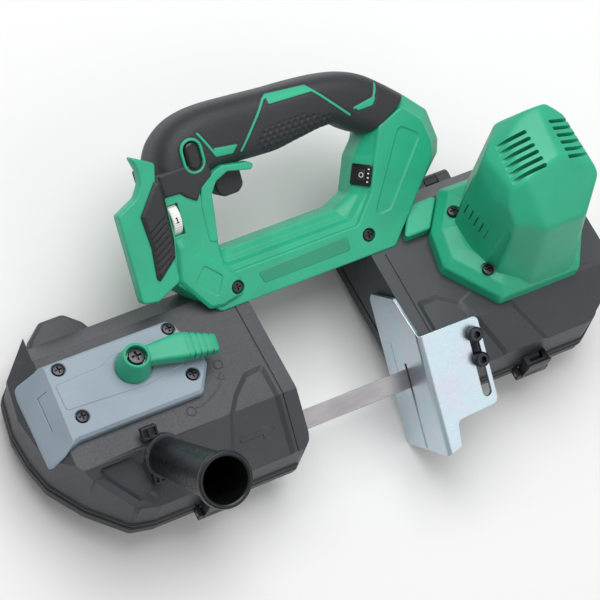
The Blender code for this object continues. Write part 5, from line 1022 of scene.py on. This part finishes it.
controlSet = {
    "dialAt": (-33.2, 121.0, -49.4),
    "dial": ((0, -3.25), (4, -3.25), (4.4, -2.9), (9.4, -2.9), (9.8, -3.25), (11.4, -3.25), (11.95, -2.7),
             (11.95, 2.7),
             (11.4, 3.25), (9.8, 3.25), (9.4, 2.9), (4.4, 2.9), (4, 3.25), (0, 3.25)),
    "numeral": (((-0.35, -1.9), (0.35, 1.9)), ((-1.0, -1.9), (1.0, -1.35)), ((-0.95, 1.0), (-0.35, 1.5))),
    "trigger": ((4.2, 152), (4.2, 129), (5.4, 123.4), (9, 121.2), (19.4, 121.2), (23.8, 125), (23.8, 152)),
    "triggerLevels": ((1.0, -67), (0, -65.8), (0, -54.2), (1.0, -53)),
    "button": ((-11.3, 156.7), (10, 18)), "buttonLevels": ((0, -46.4), (0, -37.5), (0.5, -36.9), (1.6, -36.6),
                                                           (2.6, -36.5)),
    "panel": ((-43.6, 151), (-58.8, 132), (-57.4, 111), (-59.4, 90.5), (-57.6, 88.6), (-43.6, 100), (-41.2, 111),
              (-39.4, 149)),
    "panelLevels": ((0, -31.7), (0, -31.2), (2.0, -30.0), (2.6, -29.9)),
    "ribs": 7, "rib": (99.0, 4.0, 1.5, 11.0),  # lowest u, pitch, width, rise across the panel
    "keypad": (7.4, 7.0, 1.3), "keypadRound": 1.2, "key": (2.5, 4.0),  # half sizes across and along, height
    "lamps": ((4.6, 4.2), (4.6, 1.4), (4.6, -1.4), (4.6, -4.2)), "lamp": (0.7, 0.45),
    "latch": {"left": (-69.0, -36.5), "right": (177.0, -29.5)}, "latchWindow": (5.2, -1.2, 8.0, -46.5),
    "latchTop": -20.0, "latchGrooves": (-52.0, -49.0), "latchGroove": (6.5, -9.0, -2.3, 1.3),
    "catch": (4.2, 0.4, 6.0, -44.5, -38.0), "catchBevel": (1.5, 2.0, 1.8, 2.2),
    "legCorners": (9, 8), "legDepths": (-51.0, -39.0),  # the leg's slope: its corners in the handle, split and face
    "keyRing": ((1.25, -0.2), (1.7, -0.2), (1.7, 0.06), (1.25, 0.06)),
}


def buildControls():
    x, u, n = controlSet["dialAt"]
    fit(lathe("speedDial", controlSet["dial"], controlSet["dialAt"], "X", 180, fromCut, ripple=(45, 0.14, 11)),
        whiteAcetal, "dial", "white_plastic", "speed_dial")
    for i, (low, high) in enumerate(controlSet["numeral"]):  # numeral 1 on the dial's rim
        fit(box(f"dialNumeral{i}", fromCut, (x + low[0], u + low[1], n + 11.6),
                (x + high[0], u + high[1], n + 12.14)),
            rimNylon, "dial", "cover_plastic")
    fit(slab("triggerKey", fromCut, controlSet["trigger"], controlSet["triggerLevels"], (0, 5, 5, 5, 5, 5, 0.2)),
        gripElastomer, "trigger", "rubber", "trigger")
    fit(slab("lockButton", fromCut, stadium(*controlSet["button"], 14), controlSet["buttonLevels"]), glossNylon,
        "lock_button", "rubber", "lock_off_button")
    panel = slab("guardPanel", fromCut, controlSet["panel"], controlSet["panelLevels"], 1.2)
    start, pitch, wide, rise = controlSet["rib"]
    grooves = []
    for i in range(controlSet["ribs"]):  # slanted grooves leave slanted ribs
        v = start + pitch * i
        mouth = ((-70, v - rise), (-30, v + rise), (-30, v + rise + wide), (-70, v - rise + wide))
        grooves.append(slab("groove", fromCut, mouth, ((0.4, -30.7), (0, -29.8), (0, -20))))
    carve(panel, *grooves)
    fit(panel, rimNylon, "frame", "rubber", "guard_side_panel")


def rectangle(x, y, a, b):
    return (x - a, y - b), (x + a, y - b), (x + a, y + b), (x - a, y + b)


def buildKeypad():
    # dark pad on the leg's slope: across runs from the hand to the face, along runs up the leg
    corners = np.asarray(handleSet["corners"], float)
    lower, upper = controlSet["legCorners"]
    split, face = controlSet["legDepths"]
    low = np.array((*corners[lower][0], split))
    along = unit(np.array((*corners[upper][0], split)) - low)
    side = np.array((*corners[lower][1], face)) - low
    side = unit(side - along * (side @ along))
    out = np.cross(along, side)
    out = out if out[2] > 0 else -out
    middle = toCut(np.mean(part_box("control_panel"), axis=0))
    middle = middle - out * ((middle - low) @ out)
    axes = np.array((side, along, out))

    def place(points):
        return fromCut(middle + np.asarray(points, float) @ axes)

    a, b, high = controlSet["keypad"]
    pad = slab("keypad", place, rectangle(-0.6, 0, a, b), ((0, -1.5), (0, high - 0.3), (0.4, high)),
               controlSet["keypadRound"])
    keyAt = (toCut(np.mean(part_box("mode_key"), axis=0)) - middle) @ axes.T
    ka, kb = controlSet["key"]
    room = slab("keyRoom", place, rectangle(keyAt[0], keyAt[1], ka + 0.35, kb + 0.35), ((0, -4), (0, 4)), 0.8)
    carve(pad, room)
    fit(pad, glossNylon, "frame", "cover_plastic", "control_panel")
    key = slab("modeKey", place, rectangle(keyAt[0], keyAt[1], ka, kb),
               ((0, -1.2), (0, high + 0.5), (0.5, high + 0.9)), 0.8)
    fit(key, rimNylon, "mode_key", "cover_plastic", "mode_key")
    ring = lathe("keyRing", controlSet["keyRing"], (keyAt[0], keyAt[1], high + 0.9), "Z", 40, place, closed=True)
    fit(ring, whiteAcetal, "mode_key", "white_plastic")
    la, lb = controlSet["lamp"]
    for i, (x, y) in enumerate(controlSet["lamps"]):
        lamp = slab(f"keypadLamp{i}", place, rectangle(x, y, la, lb), ((0, high - 0.4), (0, high + 0.06)), 0.3)
        fit(lamp, whiteAcetal, "frame", "white_plastic")


def buildLatch(side):
    # buckle: a window over the catch, two finger grooves on its outer side
    x, y = controlSet["latch"][side]
    half, near, far, floor = controlSet["latchWindow"]
    latch = copyNode(side + "LatchBuckle", side + "_latch")
    wide, outer, inner, tall = controlSet["latchGroove"]
    carve(latch, box("window", fromTool, (x - half, y + near, floor), (x + half, y + far, controlSet["latchTop"])),
          *[box("groove", fromTool, (x - wide, y + outer, z), (x + wide, y + inner, z + tall))
            for z in controlSet["latchGrooves"]])
    fit(latch, rimNylon, side + "_latch", "cover_plastic", side + "_latch")
    half, near, far, low, high = controlSet["catch"]
    footIn, footUp, headIn, headDown = controlSet["catchBevel"]
    outline = ((y + far, low), (y + near + footIn, low), (y + near, low + footUp), (y + near, high - headDown),
               (y + near + headIn, high), (y + far, high))
    rings = [np.array([(x + s * half, a, b) for a, b in outline]) for s in (-1, 1)]
    fit(loft(side + "Catch", [fromTool(ring) for ring in rings]), rimNylon, "frame", "housing_plastic")


buildControls()
buildKeypad()
for side in ("left", "right"):
    buildLatch(side)
print("controls built")


# stage: pale floor, soft light, camera

stageSet = {"floor": 6.0, "world": 0.45, "key": 23.0, "fill": 3.4}


def buildStage():
    half = stageSet["floor"] / 2
    corners = [(-half, -half, -0.0005), (half, -half, -0.0005), (half, half, -0.0005), (-half, half, -0.0005)]
    mesh = bpy.data.meshes.new("floor")
    mesh.from_pydata(corners, [], [(0, 1, 2, 3)])
    floor = bpy.data.objects.new("floor", mesh)
    bpy.context.scene.collection.objects.link(floor)
    material, tree, shader = startMaterial("matteWhiteCard")
    place = addNode(tree, "ShaderNodeTexCoord").outputs["Object"]
    mottle = addNode(tree, "ShaderNodeTexNoise", {"Scale": 3.0}, {"Vector": place})
    tone = addNode(tree, "ShaderNodeMapRange", {3: 0.83, 4: 0.86}, {0: mottle.outputs[0]})
    tree.links.new(tone.outputs[0], shader.inputs["Base Color"])
    shader.inputs["Roughness"].default_value = 0.9
    shader.inputs["Specular IOR Level"].default_value = 0.0
    mesh.materials.append(material)
    scene = bpy.context.scene
    world = bpy.data.worlds.new("studio")
    world.use_nodes = True
    sky = world.node_tree
    sky.nodes["Background"].inputs["Color"].default_value = (1, 1, 1, 1)
    sky.nodes["Background"].inputs["Strength"].default_value = stageSet["world"]
    scene.world = world
    for name, place, size, power in (("key", (0.05, 0.55, 1.55), 1.4, stageSet["key"]),
                                     ("fill", (0.6, -1.0, 1.15), 1.1, stageSet["fill"])):
        data = bpy.data.lights.new(name, "AREA")
        data.size = size
        data.energy = power
        lamp = bpy.data.objects.new(name, data)
        lamp.location = place
        lamp.rotation_euler = (Vector((0, 0, 0.05)) - Vector(place)).to_track_quat("-Z", "Y").to_euler()
        scene.collection.objects.link(lamp)


cameraSet = {"turn": -47.53, "rise": 59.60, "roll": 22.45, "zoom": 3000.0, "pxPerMm": 1.567, "zero": (296.4, 387.6)}


def placeCamera():  # the photograph's view, worked out in the tool frame at 600 x 600
    az, el, roll = (math.radians(cameraSet[k]) for k in ("turn", "rise", "roll"))
    away = np.array((math.sin(az) * math.cos(el), -math.cos(az) * math.cos(el), math.sin(el)))
    right = np.array((math.cos(az), math.sin(az), 0))
    down = np.cross(-away, right)
    across = math.cos(roll) * right - math.sin(roll) * down
    fall = math.sin(roll) * right + math.cos(roll) * down
    depth = cameraSet["zoom"] / cameraSet["pxPerMm"] / 1000
    px, py = cameraSet["zero"]
    eye = -(across * (px - 300) + fall * (py - 300)) / cameraSet["zoom"] * depth + away * depth
    local = Matrix(np.column_stack((across, -fall, away)).tolist()).to_4x4()
    local.translation = eye
    tool = Matrix(toolTurn.tolist()).to_4x4()
    tool.translation = Vector(lie["zero"]) / 1000
    data = bpy.data.cameras.new("camera")
    data.lens, data.sensor_width = 36 * cameraSet["zoom"] / 600, 36
    camera = bpy.data.objects.new("camera", data)
    camera.matrix_world = tool @ local
    bpy.context.scene.collection.objects.link(camera)
    bpy.context.scene.camera = camera


buildStage()
placeCamera()
bpy.context.scene.view_settings.view_transform = "Standard"
print("stage set")
